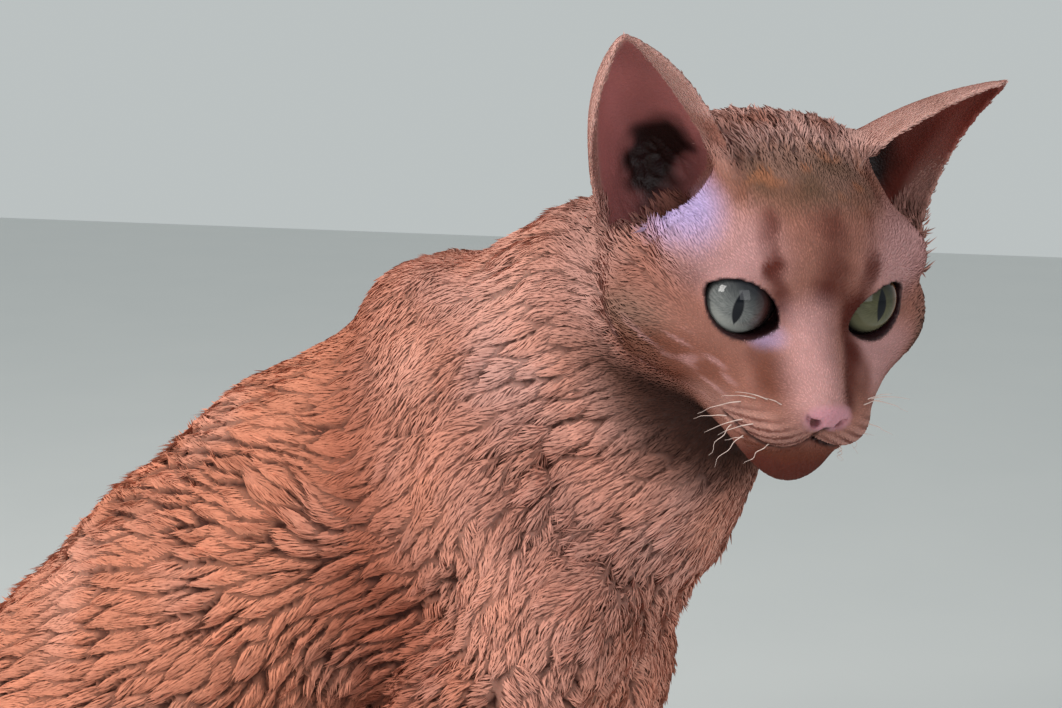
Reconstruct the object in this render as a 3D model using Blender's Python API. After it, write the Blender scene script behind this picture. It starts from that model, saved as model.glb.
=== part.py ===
"""A life-size devon rex cat, sitting, with its head turned and lowered to its right.

The body is described as soft forms, balls and tapering limbs, that are blended in a block of space,
turned into closed meshes, parted by thin cuts where a person would name the parts, and dressed with
rounded locks where the coat is wavy. Sizes are in millimetres, and the last step scales to metres.
Axes: +X is the way the body faces, +Y is the cat's left, +Z is up, and the floor is at zero.
"""

import math
import random

import bmesh
import bpy
import numpy as np
import openvdb
from mathutils import Matrix, Vector

# Driving sizes
MILLIMETRE = 0.001
GAP = 0.3
ORIGIN = np.array((-135.0, -25.0, 0.0))
SIDES = {"left": 1, "right": -1}

# The head: where it is, how it is turned, and the coat over the skin
HEAD_CENTRE = np.array((0.0, -16.0, 272.0))
HEAD_TURN, HEAD_NOD, HEAD_TILT = -51.7, 23.6, -3.8
HEAD_REACH = 88.0
HEAD_FUR = 0.9
BODY_FUR = 2.6
FOOT_FUR = 0.8

# The eye, in the head's own frame, on the cat's left
EYE_CENTRE = (20.8, 17.8, 0.4)
EYE_RADIUS = 10.6
EYE_AXIS = (0.905, 0.40, 0.10)
LID = 1.5
LID_RIM = 0.7

# The line of the mouth, in the head's own frame: it runs round the muzzle from corner to corner
MOUTH_CENTRE = (34.0, 0.0)
MOUTH_SPREAD = math.radians(84)
MOUTH_HEIGHT, MOUTH_DROP = -27.0, 2.6
LINE_DEPTH, LINE_WIDTH = 2.2, 0.9
PHILTRUM_TOP = -20.5
FACE_CARE = 1.5

# The ears, in the head's own frame, each as it would be on the cat's left: three lines, along the inner edge,
# the back and the outer edge, bend as they rise to the tip. The left ear is turned further out than the right
EAR_TIPS = {1: (1.5, 57.5, 57.0), -1: (-0.5, 56.6, 61.2)}
EAR_BASES = {
    1: ((5.3, 18.8, 34.6), (-21.0, 32.0, 24.5), (-0.2, 48.9, 1.4)),
    -1: ((6.4, 20.7, 30.3), (-19.0, 31.9, 20.0), (-3.1, 46.2, 3.0)),
}
EAR_BENDS = {
    1: ((5.5, 31.3, 49.1), (-16.0, 44.8, 43.5), (-6.0, 44.7, 28.8)),
    -1: ((1.4, 35.7, 55.7), (-20.8, 55.5, 40.3), (-6.4, 61.9, 25.6)),
}
EAR_ROOT, EAR_TOP = -0.12, 0.968
EAR_STEPS = (8, 9)
EAR_THICK, EAR_RIM, EAR_THICK_SHARE = 2.0, 0.8, 0.2

# Finishes, by the start of a part's name: colour and roughness
COAT_COLOUR = (0.56, 0.24, 0.10)
FINISHES = (
    ("ear", (0.42, 0.16, 0.10), 0.60),
    ("eye", (0.26, 0.32, 0.20), 0.15),
    ("head", (0.60, 0.28, 0.14), 0.70),
)

# Limbs, on the cat's left
ELBOW = (-92.0, 37.0, 118.0)
WRIST = (-64.0, 28.0, 34.0)
FOREPAW = (-48.0, 28.0, 9.6)
KNEE = (-146.0, 49.0, 84.0)
HOCK = (-246.0, 40.0, 22.0)
HINDPAW = (-150.0, 50.0, 9.6)

# The tail leaves the rump, comes down to the floor and lies round the cat's right side: x, y and radius
TAIL_ROOT_HEIGHTS = (36.0, 21.0)
TAIL_PATH = (
    (-286, 0, 17), (-308, -16, 13.0), (-318, -48, 10.5), (-304, -84, 9.4), (-268, -105, 8.6),
    (-222, -112, 7.8), (-176, -112, 7.0), (-134, -105, 6.2), (-102, -93, 5.3), (-84, -80, 4.0),
)
FLOOR_SINK = 0.6

# The wavy coat: rounded locks over a core, out to the tips
TIPS = 6.2
LOCK_SINK = 2.4
LOCK_LENGTH, LOCK_HALF_WIDTH = 41.0, 14.0
LOCK_SPACING = (25.0, 20.0)
LOCK_SWAY, LOCK_TURN, LOCK_VARIES = 3.4, math.radians(14), 0.12
LOCK_ROOT, LOCK_TIP = (0.0, -0.4), (1.0, 0.30)
LOCK_RINGS = ((0.36, 0.88, 0.72), (0.66, 1.0, 1.0), (0.90, 0.70, 0.84))
LOCK_ARCH = ((-1.0, 0.0), (-0.52, 0.93), (0.52, 0.93), (1.0, 0.0))
FRONT_FINENESS = 0.80
HEAD_TAPER = 26.0
LOCK_HOLLOW = 6.8
LOCK_THINNING = 0.5
SEED = 11
WAVY_PARTS = ("chest", "rump", "neck", "shoulder", "thigh")

# Where the parts meet
WRIST_CUT = 25.0
ELBOW_CUT = 114.0
HOCK_CUT = 22.0
LEG_FRONT = -118.0
LEG_REAR = -293.0
LEG_OUTSIDE = 71.0
THIGH_INSIDE = 15.0
THIGH_SLANT = math.radians(13.8)
SHOULDER = (-78.0, 56.0, 164.0)
SHOULDER_RADII = (38.0, 32.0, 56.0)
HEAD_CUT_OUT = (-0.50, -0.25, -0.83)
HEAD_CUT = 36.0
NECK_CUT = (-51.5, 0.0, 234.0)
NECK_CUT_OUT = (-0.68, 0.0, -0.73)
WAIST_CUT = (-178.0, 0.0, 146.0)
WAIST_CUT_OUT = (-0.77, 0.0, -0.64)
TAIL_CUT = (-303.0, -9.0, 27.0)
TAIL_CUT_OUT = (0.72, 0.50, 0.47)


def head_axes():
    """The head's forward, left and up directions, as columns."""
    turn = Matrix.Rotation(math.radians(HEAD_TURN), 3, "Z")
    nod = Matrix.Rotation(math.radians(HEAD_NOD), 3, "Y")
    tilt = Matrix.Rotation(math.radians(HEAD_TILT), 3, "X")
    return np.array(turn @ nod @ tilt)


HEAD_AXES = head_axes()


def from_head(point):
    """A point of the head's own frame, in the cat's frame."""
    return HEAD_CENTRE + HEAD_AXES @ np.array(point, float)


def on_side(point, side):
    """The point on the cat's left for side 1, and its mirror on the right for side -1."""
    return (point[0], point[1] * side, point[2])


# Soft forms: each gives a signed distance in millimetres, negative inside
def ball(centre, radii, axes=None):
    """An ellipsoid. axes holds its three directions as columns."""
    centre, radii = np.array(centre, float), np.array(radii, float)
    turn = np.eye(3) if axes is None else np.array(axes, float)

    def distance(p):
        q = (p - centre) @ turn
        near = np.linalg.norm(q / radii, axis=1)
        slope = np.linalg.norm(q / radii**2, axis=1) + 1e-9
        return near * (near - 1.0) / slope

    return distance


def limb(start, end, r_start, r_end, narrow=1.0):
    """A tapering rod with round ends. narrow above 1 makes it thinner from side to side."""
    scale = np.array((1.0, narrow, 1.0))
    a, b = np.array(start, float) * scale, np.array(end, float) * scale
    along = b - a
    length2 = float(along @ along)

    def distance(p):
        q = p * scale - a
        t = np.clip(q @ along / length2, 0.0, 1.0)
        off = np.linalg.norm(q - t[:, None] * along, axis=1)
        return (off - r_start - t * (r_end - r_start)) / math.sqrt(narrow)

    return distance


def blend(a, b, reach):
    """Joins two distances with a soft fillet of this reach."""
    h = np.maximum(reach - np.abs(a - b), 0.0) / reach
    return np.minimum(a, b) - h * h * reach * 0.25


def carve(a, b, reach):
    """Takes b out of a with a soft edge."""
    return -blend(-a, b, reach)


def blended(p, forms):
    """Joins a list of (form, reach) one after another."""
    total = forms[0][0](p)
    for form, reach in forms[1:]:
        total = blend(total, form(p), reach)
    return total


# The body
def trunk_forms():
    """Chest, ribs, loin and rump along the back, each as (x, z, radius, narrowing)."""
    line = (
        (-63, 200, 39, 1.12), (-99, 200, 49.5, 1.20), (-142, 176, 49.5, 1.17), (-184, 142, 49.5, 1.10),
        (-220, 107, 49.5, 1.05), (-241, 77, 49.5, 1.04), (-251, 47.2, 47.8, 1.03),
    )
    forms = []
    for (x0, z0, r0, n0), (x1, z1, r1, n1) in zip(line, line[1:]):
        forms.append((limb((x0, 0, z0), (x1, 0, z1), r0, r1, (n0 + n1) / 2), 14.0))
    forms.append((ball((-108, 0, 158), (46, 33, 34)), 16.0))
    forms.append((ball((-64.5, 0, 150), (33, 30, 40)), 10.0))
    return forms


def neck_forms():
    """The neck, from the withers to the back of the head, and the throat under it."""
    return [
        (limb((-82, 0, 229), (-48, 1, 250), 37, 32, 1.08), 18.0),
        (limb((-48, 1, 248), (-16, 0, 261), 32, 28, 1.05), 12.0),
        (limb((-43, 0, 201), (-17, -3, 246), 32, 24, 1.12), 10.0),
    ]


def foreleg_forms(side):
    """Shoulder blade, upper arm, forearm and wrist of one side."""
    blade, shoulder = on_side((-80, 26, 205), side), on_side((-57, 30, 168), side)
    elbow, wrist, paw = on_side(ELBOW, side), on_side(WRIST, side), on_side(FOREPAW, side)
    return [
        (limb(on_side((-104, 13, 250), side), blade, 13, 21), 16.0),
        (limb(blade, shoulder, 22, 22), 14.0),
        (limb(shoulder, on_side((-78, 38, 134), side), 22, 19), 10.0),
        (limb(on_side((-80, 38, 136), side), elbow, 19, 14), 10.0),
        (limb(elbow, on_side((-80, 34, 90), side), 14.5, 13), 6.0),
        (limb(on_side((-80, 34, 90), side), wrist, 13, 8.6), 6.0),
        (limb(wrist, paw, 8.8, 8.6), 5.0),
    ]


def paw_forms(centre, side, long, wide):
    """A paw: the pad, and four toes that spread a little."""
    x, y, z = on_side(centre, side)
    forms = [(ball((x, y, z), (long * 0.52, wide * 0.50, 9.6)), 6.0)]
    for toe, (forward, out) in enumerate(((0.36, -0.34), (0.52, -0.12), (0.52, 0.12), (0.36, 0.34))):
        tip = (x + forward * long, y + out * wide, 6.0)
        forms.append((limb((x, y + out * wide * 0.8, 9.0), tip, 5.2, 5.9), 1.6 if toe else 3.0))
    return forms


def hindleg_forms(side):
    """Thigh, shank and long hind foot of one side, folded as in a sitting cat."""
    knee, hock, paw = on_side(KNEE, side), on_side(HOCK, side), on_side(HINDPAW, side)
    return [
        (ball(on_side((-208, 36, 84), side), (58, 27, 52)), 14.0),
        (limb(on_side((-214, 40, 84), side), knee, 30, 18), 12.0),
        (limb(knee, on_side((-206, 44, 36), side), 17, 14), 8.0),
        (limb(on_side((-206, 44, 36), side), hock, 14, 11), 8.0),
        (limb(hock, on_side((-236, 42, 13), side), 10.5, 10.0), 5.0),
        (limb(on_side((-236, 42, 12), side), paw, 9.2, 8.4), 5.0),
    ]


def tail_forms():
    """The tail, as short limbs along its path."""
    points = []
    for i, (x, y, radius) in enumerate(TAIL_PATH):
        lying = radius + FOOT_FUR - FLOOR_SINK
        points.append((x, y, max(lying, *TAIL_ROOT_HEIGHTS[i:i + 1], 0.0)))
    radii = [radius for x, y, radius in TAIL_PATH]
    return [(limb(*points[i:i + 2], *radii[i:i + 2]), 3.0) for i in range(len(points) - 1)]


def body_distance(p):
    """The skin of everything but the head."""
    total = blended(p, trunk_forms() + neck_forms())
    for side in SIDES.values():
        total = blend(total, blended(p, foreleg_forms(side)), 12.0)
        total = blend(total, blended(p, hindleg_forms(side)), 10.0)
    total = blend(total, blended(p, tail_forms()), 9.0)
    feet = np.full(len(p), 60.0)
    low = p[:, 2] < 40.0
    q = p[low]
    for side in SIDES.values():
        feet[low] = np.minimum(feet[low], blended(q, paw_forms(FOREPAW, side, 30, 25)))
        feet[low] = np.minimum(feet[low], blended(q, paw_forms(HINDPAW, side, 34, 25)))
    return blend(total, feet, 4.0)


# The head, in its own frame: forward, left, up
def skull_forms():
    """Skull, forehead, cheekbones, jaw, nose and muzzle of both sides."""
    forms = [
        (ball((-8, 0, 5), (36, 35, 29)), 1.0),
        (limb((-10, -17, 19), (-10, 17, 19), 13.5, 13.5), 10.0),
        (ball((10, 0, 7), (23, 27, 22)), 12.0),
        (ball((2, 0, -14), (26, 25, 20)), 12.0),
        (limb((26, 0, -3), (46.5, 0, -15.5), 8.8, 6.4), 8.0),
        (ball((47.8, 0, -17.6), (5.8, 6.6, 4.6)), 3.0),
        (ball((39, 0, -35.0), (8.8, 9.2, 10.0)), 7.0),
    ]
    for side in SIDES.values():
        forms += [
            (ball(on_side((7, 28, -10), side), (19, 16.5, 14)), 12.0),
            (limb(on_side((12, 29, -11), side), on_side((33, 13, -19), side), 12, 10), 9.0),
            (limb(on_side((-6, 24, -19), side), on_side((34, 7, -30.5), side), 12, 8.5), 9.0),
            (limb(on_side((22, 10, 11), side), on_side((14, 30, 10), side), 6, 8), 7.0),
            (ball(on_side((41, 8.6, -22.6), side), (11.0, 8.6, 8.2)), 5.0),
            (ball(on_side((-7, 32, 9), side), (14, 14.5, 18)), 8.0),
        ]
    return forms


def eye_axes(side):
    """The eye's frame, as columns: along the slit from the nose outwards, across it, and out of the head."""
    out = np.array(on_side(EYE_AXIS, side))
    out /= np.linalg.norm(out)
    slit = np.array(on_side((-8.5, 18.5, 7.3), side))
    slit -= out * (slit @ out)
    slit /= np.linalg.norm(slit)
    across = np.cross(out, slit) * side
    return np.stack((slit, across, out), axis=1)


def eye_opening(p, side):
    """The almond between the lids: two arcs that meet at the corners, in front of the eyeball."""
    q = (p - np.array(on_side(EYE_CENTRE, side))) @ eye_axes(side)
    slit, across = q[:, 0] + 1.2, q[:, 1]
    upper = np.hypot(slit, across + 4.2) - 11.8
    lower = np.hypot(slit, across - 4.6) - 11.6
    almond = np.maximum(upper, lower)
    return np.maximum(almond, -(q[:, 2] - 1.5))


def head_distance(p):
    """The skin of the head, with lids, sockets, nostrils and the bowls of the ears."""
    q = (p - HEAD_CENTRE) @ HEAD_AXES
    total = blended(q, skull_forms())
    for side in SIDES.values():
        eye = ball(on_side(EYE_CENTRE, side), (EYE_RADIUS,) * 3)(q)
        total = blend(total, eye - LID, 2.5)
        almond = eye_opening(q, side)
        rim = np.maximum(eye - LID - LID_RIM, np.abs(almond - 0.9) - 0.9)
        total = blend(total, rim, 1.2)
        total = carve(total, np.maximum(almond, eye - LID - 3.5), 0.6)
        total = np.maximum(total, -(eye - GAP))
        nostril = limb(on_side((54.0, 3.6, -18.8), side), on_side((49.5, 2.8, -19.6), side), 1.9, 1.5)
        total = carve(total, nostril(q), 0.8)
        across, up = on_side((0.0, -0.69, 0.72), side), on_side((0.0, 0.72, 0.69), side)
        bowl = ball(on_side((-5, 38, 21), side), (13, 18, 15), np.stack(((1, 0, 0), across, up), axis=1))
        total = carve(total, bowl(q), 3.0)
        total = carve(total, limb(on_side((-8, 32, 14), side), on_side((-7, 24, 7), side), 6, 4)(q), 3.0)
    return total


def face_care(p):
    """How much the face's fine forms are spared when the mesh is thinned: muzzle and lids."""
    q = (p - HEAD_CENTRE) @ HEAD_AXES
    care = np.clip((q[:, 0] - 30) / 10, 0.0, 0.9)
    for side in SIDES.values():
        lids = np.abs(eye_opening(q, side)) - 2.0
        near = np.linalg.norm(q - np.array(on_side(EYE_CENTRE, side)), axis=1) < EYE_RADIUS + 5
        care = np.maximum(care, np.where(near, np.clip(0.9 - lids * 0.4, 0.0, 0.9), 0.0))
    return care


def coat_distance(p):
    """The surface that the solids follow: the skin with short fur, or with the core of the wavy coat."""
    low = np.clip(p[:, 2] / 60.0 - 0.4, 0.0, 1.0)
    fur = FOOT_FUR + (BODY_FUR - FOOT_FUR) * low
    total = body_distance(p) - fur
    near = np.linalg.norm(p - HEAD_CENTRE, axis=1) < HEAD_REACH
    if near.any():
        head = head_distance(p[near]) - HEAD_FUR
        total[near] = blend(total[near], head, 8.0)
    return total


# Meshing
def grid_points(low, step, shape, index):
    """The positions of grid nodes, given their flat index."""
    return np.array(low) + np.stack(np.unravel_index(index, shape), axis=1) * step


def surface(distance, low, high, step):
    """Meshes the surface of a form inside a box. Only the cells near the surface are worked out finely."""
    stride = 4
    cells = np.ceil((np.array(high) - np.array(low)) / (step * stride)).astype(int)
    rough_shape = tuple(cells + 1)
    rough = distance(grid_points(low, step * stride, rough_shape, np.arange(np.prod(rough_shape))))
    rough = rough.reshape(rough_shape)
    fine_shape = tuple(cells * stride + 1)
    nearest = [
        np.minimum((np.arange(fine) + stride // 2) // stride, rough_count - 1)
        for fine, rough_count in zip(fine_shape, rough_shape)
    ]
    values = rough[np.ix_(*nearest)].astype(np.float32)
    wanted = np.flatnonzero(np.abs(values) < step * stride * 1.5)
    values.reshape(-1)[wanted] = distance(grid_points(low, step, fine_shape, wanted))
    grid = openvdb.FloatGrid(60.0)
    grid.copyFromArray(values)
    points, quads = grid.convertToQuads(0.0)
    return points * step + np.array(low), quads


def new_object(name, points, faces):
    """A mesh object from arrays of points and faces."""
    mesh = bpy.data.meshes.new(name)
    mesh.from_pydata([tuple(map(float, p)) for p in points], [], [tuple(map(int, f)) for f in faces])
    mesh.update()
    obj = bpy.data.objects.new(name, mesh)
    bpy.context.scene.collection.objects.link(obj)
    return obj


def settle(obj):
    """Applies the object's modifiers."""
    bpy.context.view_layer.update()
    graph = bpy.context.evaluated_depsgraph_get()
    mesh = bpy.data.meshes.new_from_object(obj.evaluated_get(graph))
    obj.modifiers.clear()
    old, obj.data = obj.data, mesh
    bpy.data.meshes.remove(old)
    return obj


def triangle_count(obj):
    return sum(len(face.vertices) - 2 for face in obj.data.polygons)


def thin_out(obj, triangles, care=None):
    """Simplifies the mesh to about this many triangles. care gives how much each point is spared, 0 to 1."""
    modifier = obj.modifiers.new("thin_out", "DECIMATE")
    if care is not None:
        group = obj.vertex_groups.new(name="care")
        for index, amount in enumerate(care(np.array([v.co for v in obj.data.vertices]))):
            group.add([index], float(amount), "REPLACE")
        modifier.vertex_group = group.name
        modifier.invert_vertex_group = True
        modifier.vertex_group_factor = FACE_CARE
    modifier.ratio = triangles / triangle_count(obj)
    modifier.use_collapse_triangulate = True
    return settle(obj)


def combine(obj, other, operation):
    """A Boolean with another object, applied at once."""
    modifier = obj.modifiers.new("combine", "BOOLEAN")
    modifier.operation = operation
    modifier.solver = "MANIFOLD"
    modifier.object = other
    return settle(obj)


def remove(obj):
    mesh = obj.data
    bpy.data.objects.remove(obj)
    bpy.data.meshes.remove(mesh)


def copy_of(obj, name):
    twin = bpy.data.objects.new(name, obj.data.copy())
    bpy.context.scene.collection.objects.link(twin)
    return twin


def keep_largest(obj):
    """Drops every closed surface but the one that holds most."""
    shape = bmesh.new()
    shape.from_mesh(obj.data)
    shape.verts.ensure_lookup_table()
    seen, islands = set(), []
    for start in shape.verts:
        if start.index in seen:
            continue
        seen.add(start.index)
        island, queue = [], [start]
        while queue:
            vert = queue.pop()
            island.append(vert)
            for edge in vert.link_edges:
                other = edge.other_vert(vert)
                if other.index not in seen:
                    seen.add(other.index)
                    queue.append(other)
        islands.append(island)

    def extent(island):
        low = [min(v.co[k] for v in island) for k in range(3)]
        high = [max(v.co[k] for v in island) for k in range(3)]
        return math.prod(h - l for l, h in zip(low, high))

    islands.sort(key=extent)
    loose = [v for island in islands[:-1] for v in island]
    bmesh.ops.delete(shape, geom=loose, context="VERTS")
    shape.to_mesh(obj.data)
    shape.free()
    return obj


# Regions that part the body: lists of planes, each a point and the direction that leads out of the region
def box(low, high, side=1):
    """The planes of a box. side -1 mirrors it to the cat's right."""
    planes = []
    for k in range(3):
        out = np.eye(3)[k]
        planes += [(np.array(high, float), out), (np.array(low, float), -out)]
    mirror = np.array((1.0, side, 1.0))
    return [(point * mirror, out * mirror) for point, out in planes]


def cutter_of(planes, grow=0.0, size=900.0):
    """A solid with these planes as its sides, each moved out by grow."""
    shape = bmesh.new()
    bmesh.ops.create_cube(shape, size=size)
    for point, out in planes:
        out = np.array(out) / np.linalg.norm(out)
        found = bmesh.ops.bisect_plane(
            shape, geom=shape.verts[:] + shape.edges[:] + shape.faces[:], dist=1e-4,
            plane_co=Vector(np.array(point) + out * grow), plane_no=Vector(out), clear_outer=True,
        )
        rim = [e for e in found["geom_cut"] if isinstance(e, bmesh.types.BMEdge)]
        if rim:
            bmesh.ops.contextual_create(shape, geom=rim)
    bmesh.ops.recalc_face_normals(shape, faces=shape.faces)
    mesh = bpy.data.meshes.new("cutter")
    shape.to_mesh(mesh)
    shape.free()
    cutter = bpy.data.objects.new("cutter", mesh)
    bpy.context.scene.collection.objects.link(cutter)
    return cutter


def leg_wedge(side, low, high):
    """The outer wedge of the body that holds a hind leg, between two heights."""
    out = np.array((0.0, -side * math.cos(THIGH_SLANT), math.sin(THIGH_SLANT)))
    return [
        ((0.0, side * THIGH_INSIDE, 0.0), out),
        ((0.0, side * LEG_OUTSIDE, 0.0), (0.0, side, 0.0)),
        ((LEG_FRONT, 0.0, 0.0), (1.0, 0.0, 0.0)),
        ((LEG_REAR, 0.0, 0.0), (-1.0, 0.0, 0.0)),
        ((0.0, 0.0, low), (0.0, 0.0, -1.0)),
        ((0.0, 0.0, high), (0.0, 0.0, 1.0)),
    ]


def fleshy_parts():
    """The parts that are cut from the body, in the order in which they take their share.

    Each is (name, planes or ball of its region, low corner, high corner, mesh step, triangles
    before any locks)."""
    parts = []
    floor = ((0, 0, 0), (0, 0, -1))
    for name, side in SIDES.items():
        mirror = np.array((1.0, side, 1.0))

        def span(low, high):
            ends = np.sort(np.array((low, high)) * mirror, axis=0)
            return tuple(ends[0]), tuple(ends[1])

        paw = box((-110, 3, 0), (20, 68, WRIST_CUT), side)
        parts.append((f"forepaw_{name}", paw, *span((-90, 4, -4), (-10, 56, 32)), 1.6, 380))
        shin = box((LEG_FRONT, 3, WRIST_CUT), (-20, 75, ELBOW_CUT), side)
        parts.append((f"foreleg_{name}", shin, *span((-124, 4, 18), (-30, 70, 122)), 2.2, 300))
        shoulder = (on_side(SHOULDER, side), SHOULDER_RADII)
        parts.append((f"shoulder_{name}", shoulder, *span((-122, 10, 98), (-34, 76, 226)), 3.0, 240))
        foot = leg_wedge(side, 0, HOCK_CUT)
        parts.append((f"hindfoot_{name}", foot, *span((-275, 8, -4), (-112, 76, 28)), 1.8, 400))
        thigh = leg_wedge(side, HOCK_CUT, 165)
        parts.append((f"thigh_{name}", thigh, *span((-300, 8, 14), (-108, 82, 160)), 3.0, 340))
    tip = box((-165, -130, 0), (-60, -LEG_OUTSIDE, 40))
    parts.append(("tail_tip", tip, (-175, -125, -3), (-70, -66, 18), 1.6, 140))
    middle = box((-290, -130, 0), (-165, -LEG_OUTSIDE, 40))
    parts.append(("tail_middle", middle, (-298, -125, -3), (-160, -66, 22), 1.8, 180))
    root = [(TAIL_CUT, TAIL_CUT_OUT), floor]
    parts.append(("tail_base", root, (-334, -100, -3), (-285, 30, 62), 2.0, 260))
    head = [(from_head(np.array(HEAD_CUT_OUT) * HEAD_CUT), HEAD_AXES @ np.array(HEAD_CUT_OUT))]
    low, high = HEAD_CENTRE - 62, HEAD_CENTRE + 62
    parts.append(("head", head, tuple(low), tuple(high), 1.1, 2900))
    neck = [(NECK_CUT, NECK_CUT_OUT)]
    parts.append(("neck", neck, (-125, -60, 170), (14, 60, 300), 2.6, 400))
    chest = [floor, (WAIST_CUT, WAIST_CUT_OUT)]
    parts.append(("chest", chest, (-238, -80, 84), (4, 80, 292), 3.2, 700))
    parts.append(("rump", [floor], (-318, -80, -6), (-116, 80, 222), 3.2, 700))
    return parts


def region_solid(region, grow=0.0):
    """The cutter of a region: a ball, given as centre and radii, or planes."""
    if isinstance(region, tuple):
        return ball_cutter(*region, grow)
    return cutter_of(region, grow)


def ball_cutter(centre, radii, grow=0.0, detail=3):
    """An ellipsoid solid."""
    shape = bmesh.new()
    bmesh.ops.create_icosphere(shape, subdivisions=detail, radius=1.0)
    points = np.array([v.co for v in shape.verts]) * (np.array(radii) + grow) + np.array(centre)
    faces = [[v.index for v in f.verts] for f in shape.faces]
    shape.free()
    return new_object("cutter", points, faces)


# The wavy coat
def unit_rows(rows):
    return rows / np.linalg.norm(rows, axis=1, keepdims=True)


def slope(points, reach=0.8):
    """The outward direction of the coat's core at each point."""
    steps = reach * np.eye(3)
    rises = [coat_distance(points + step) - coat_distance(points - step) for step in steps]
    return unit_rows(np.stack(rises, axis=1))


def onto_core(points):
    """The points moved onto the core's surface, and its outward directions there."""
    for _ in range(3):
        points = points - coat_distance(points)[:, None] * slope(points)
    return points, slope(points)


def lie_of(points, normals):
    """The way the hair lies: back and down along the body, and down the chest and the upper legs."""
    front = np.clip((points[:, 0] + 105.0) / 60.0, 0.0, 1.0)
    low = np.clip((150.0 - points[:, 2]) / 60.0, 0.0, 1.0)
    down = np.maximum(front, low)
    lie = np.stack((-0.80 + 0.55 * down, 0.0 * down, -0.60 - 0.35 * down), axis=1)
    lie -= normals * np.sum(lie * normals, axis=1, keepdims=True)
    return unit_rows(lie)


def behind_head(points):
    """How far behind the cut at the head the points are."""
    return (points - HEAD_CENTRE) @ (HEAD_AXES @ np.array(HEAD_CUT_OUT)) - HEAD_CUT


def is_wavy(points):
    """Whether the coat is wavy there: it is on neck, trunk, shoulders and thighs."""
    x, y, z = points.T
    upper = z > np.where(x > LEG_FRONT, ELBOW_CUT + 8.0, 42.0)
    on_tail = (x < -266.0) & (z < 66.0)
    between_legs = (np.abs(y) < 26.0) & (z < 124.0) & (x > -236.0)
    return (behind_head(points) > 5.0) & upper & ~on_tail & ~between_legs


def fineness(points):
    """How large the locks are: smaller on the chest and the neck than on the flanks."""
    front = np.clip((points[:, 0] + 90.0) / 40.0, 0.0, 1.0)
    return 1.0 + (FRONT_FINENESS - 1.0) * front


def lock_places():
    """Evenly spread places for locks: each is the one farthest from those before it."""
    points, _ = surface(coat_distance, (-318, -84, 20), (4, 84, 296), 5.0)
    points, normals = onto_core(points[is_wavy(points)])
    open_to_air = coat_distance(points + 9.0 * normals) > LOCK_HOLLOW
    points, normals = points[open_to_air], normals[open_to_air]
    lies = lie_of(points, normals)
    asides = np.cross(normals, lies)
    sizes = fineness(points)
    nearest = np.full(len(points), 9.0)
    places = []
    while nearest.max() > 1.0:
        best = int(np.argmax(nearest))
        places.append((points[best], normals[best], lies[best], sizes[best]))
        gaps = (points - points[best]) / sizes[:, None]
        along, aside = np.sum(gaps * lies, axis=1), np.sum(gaps * asides, axis=1)
        along = np.hypot(along, np.sum(gaps * normals, axis=1))
        nearest = np.minimum(nearest, np.hypot(along / LOCK_SPACING[0], aside / LOCK_SPACING[1]))
    return places


def lock_solid(place, draw):
    """One lock: a bent tongue that leaves the core, swells and ends in a blunt, free tip."""
    point, normal, lie, size = place
    turn = draw.uniform(-LOCK_TURN, LOCK_TURN)
    length = size * LOCK_LENGTH * draw.uniform(1 - LOCK_VARIES, 1 + LOCK_VARIES)
    half = size * LOCK_HALF_WIDTH * draw.uniform(1 - LOCK_VARIES, 1 + LOCK_VARIES)
    sway = size * LOCK_SWAY * draw.choice((-1, 1)) * draw.uniform(0.5, 1.0)
    lie = lie * math.cos(turn) + np.cross(normal, lie) * math.sin(turn)
    aside = np.cross(normal, lie)
    taper = min(max(behind_head(point) / HEAD_TAPER, 0.15), 1.0)
    full = (TIPS - BODY_FUR) * taper * draw.uniform(0.9, 1.1)
    rings = [
        (along, across * width, rise, arch)
        for along, width, rise in LOCK_RINGS
        for across, arch in LOCK_ARCH
    ]
    ends = [(along, 0.0, rise, 1.0) for along, rise in (LOCK_ROOT, LOCK_TIP)]
    spots, heights = [], []
    for along, across, rise, arch in rings + ends:
        bend = sway * math.sin(2 * math.pi * along)
        spots.append(point + lie * (along - 0.5) * length + aside * (across * half + bend))
        heights.append(-LOCK_SINK + (full * rise + LOCK_SINK) * arch)
    spots, normals = onto_core(np.array(spots))
    points = spots + normals * np.array(heights)[:, None]
    count, last, root, tip = len(LOCK_ARCH), len(rings) - len(LOCK_ARCH), len(rings), len(rings) + 1
    faces = []
    for k in range(count):
        a, b = k, (k + 1) % count
        faces += [(root, b, a), (last + a, last + b, tip)]
        for ring in range(0, last, count):
            faces += [(ring + a, ring + b, ring + b + count), (ring + a, ring + b + count, ring + a + count)]
    lock = new_object("lock", points, faces)
    face_outwards(lock)
    return lock


def add_locks(part, locks, low, high):
    """Joins to a part the locks that reach into its box, in one union."""
    group = bpy.data.collections.new("locks")
    bpy.context.scene.collection.children.link(group)
    for lock in locks:
        points = np.array([v.co for v in lock.data.vertices])
        if (points.max(axis=0) > low).all() and (points.min(axis=0) < high).all():
            group.objects.link(copy_of(lock, "lock_copy"))
    modifier = part.modifiers.new("locks", "BOOLEAN")
    modifier.operation = "UNION"
    modifier.operand_type = "COLLECTION"
    modifier.collection = group
    modifier.solver = "MANIFOLD"
    settle(part)
    for obj in list(group.objects):
        remove(obj)
    bpy.data.collections.remove(group)


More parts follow.
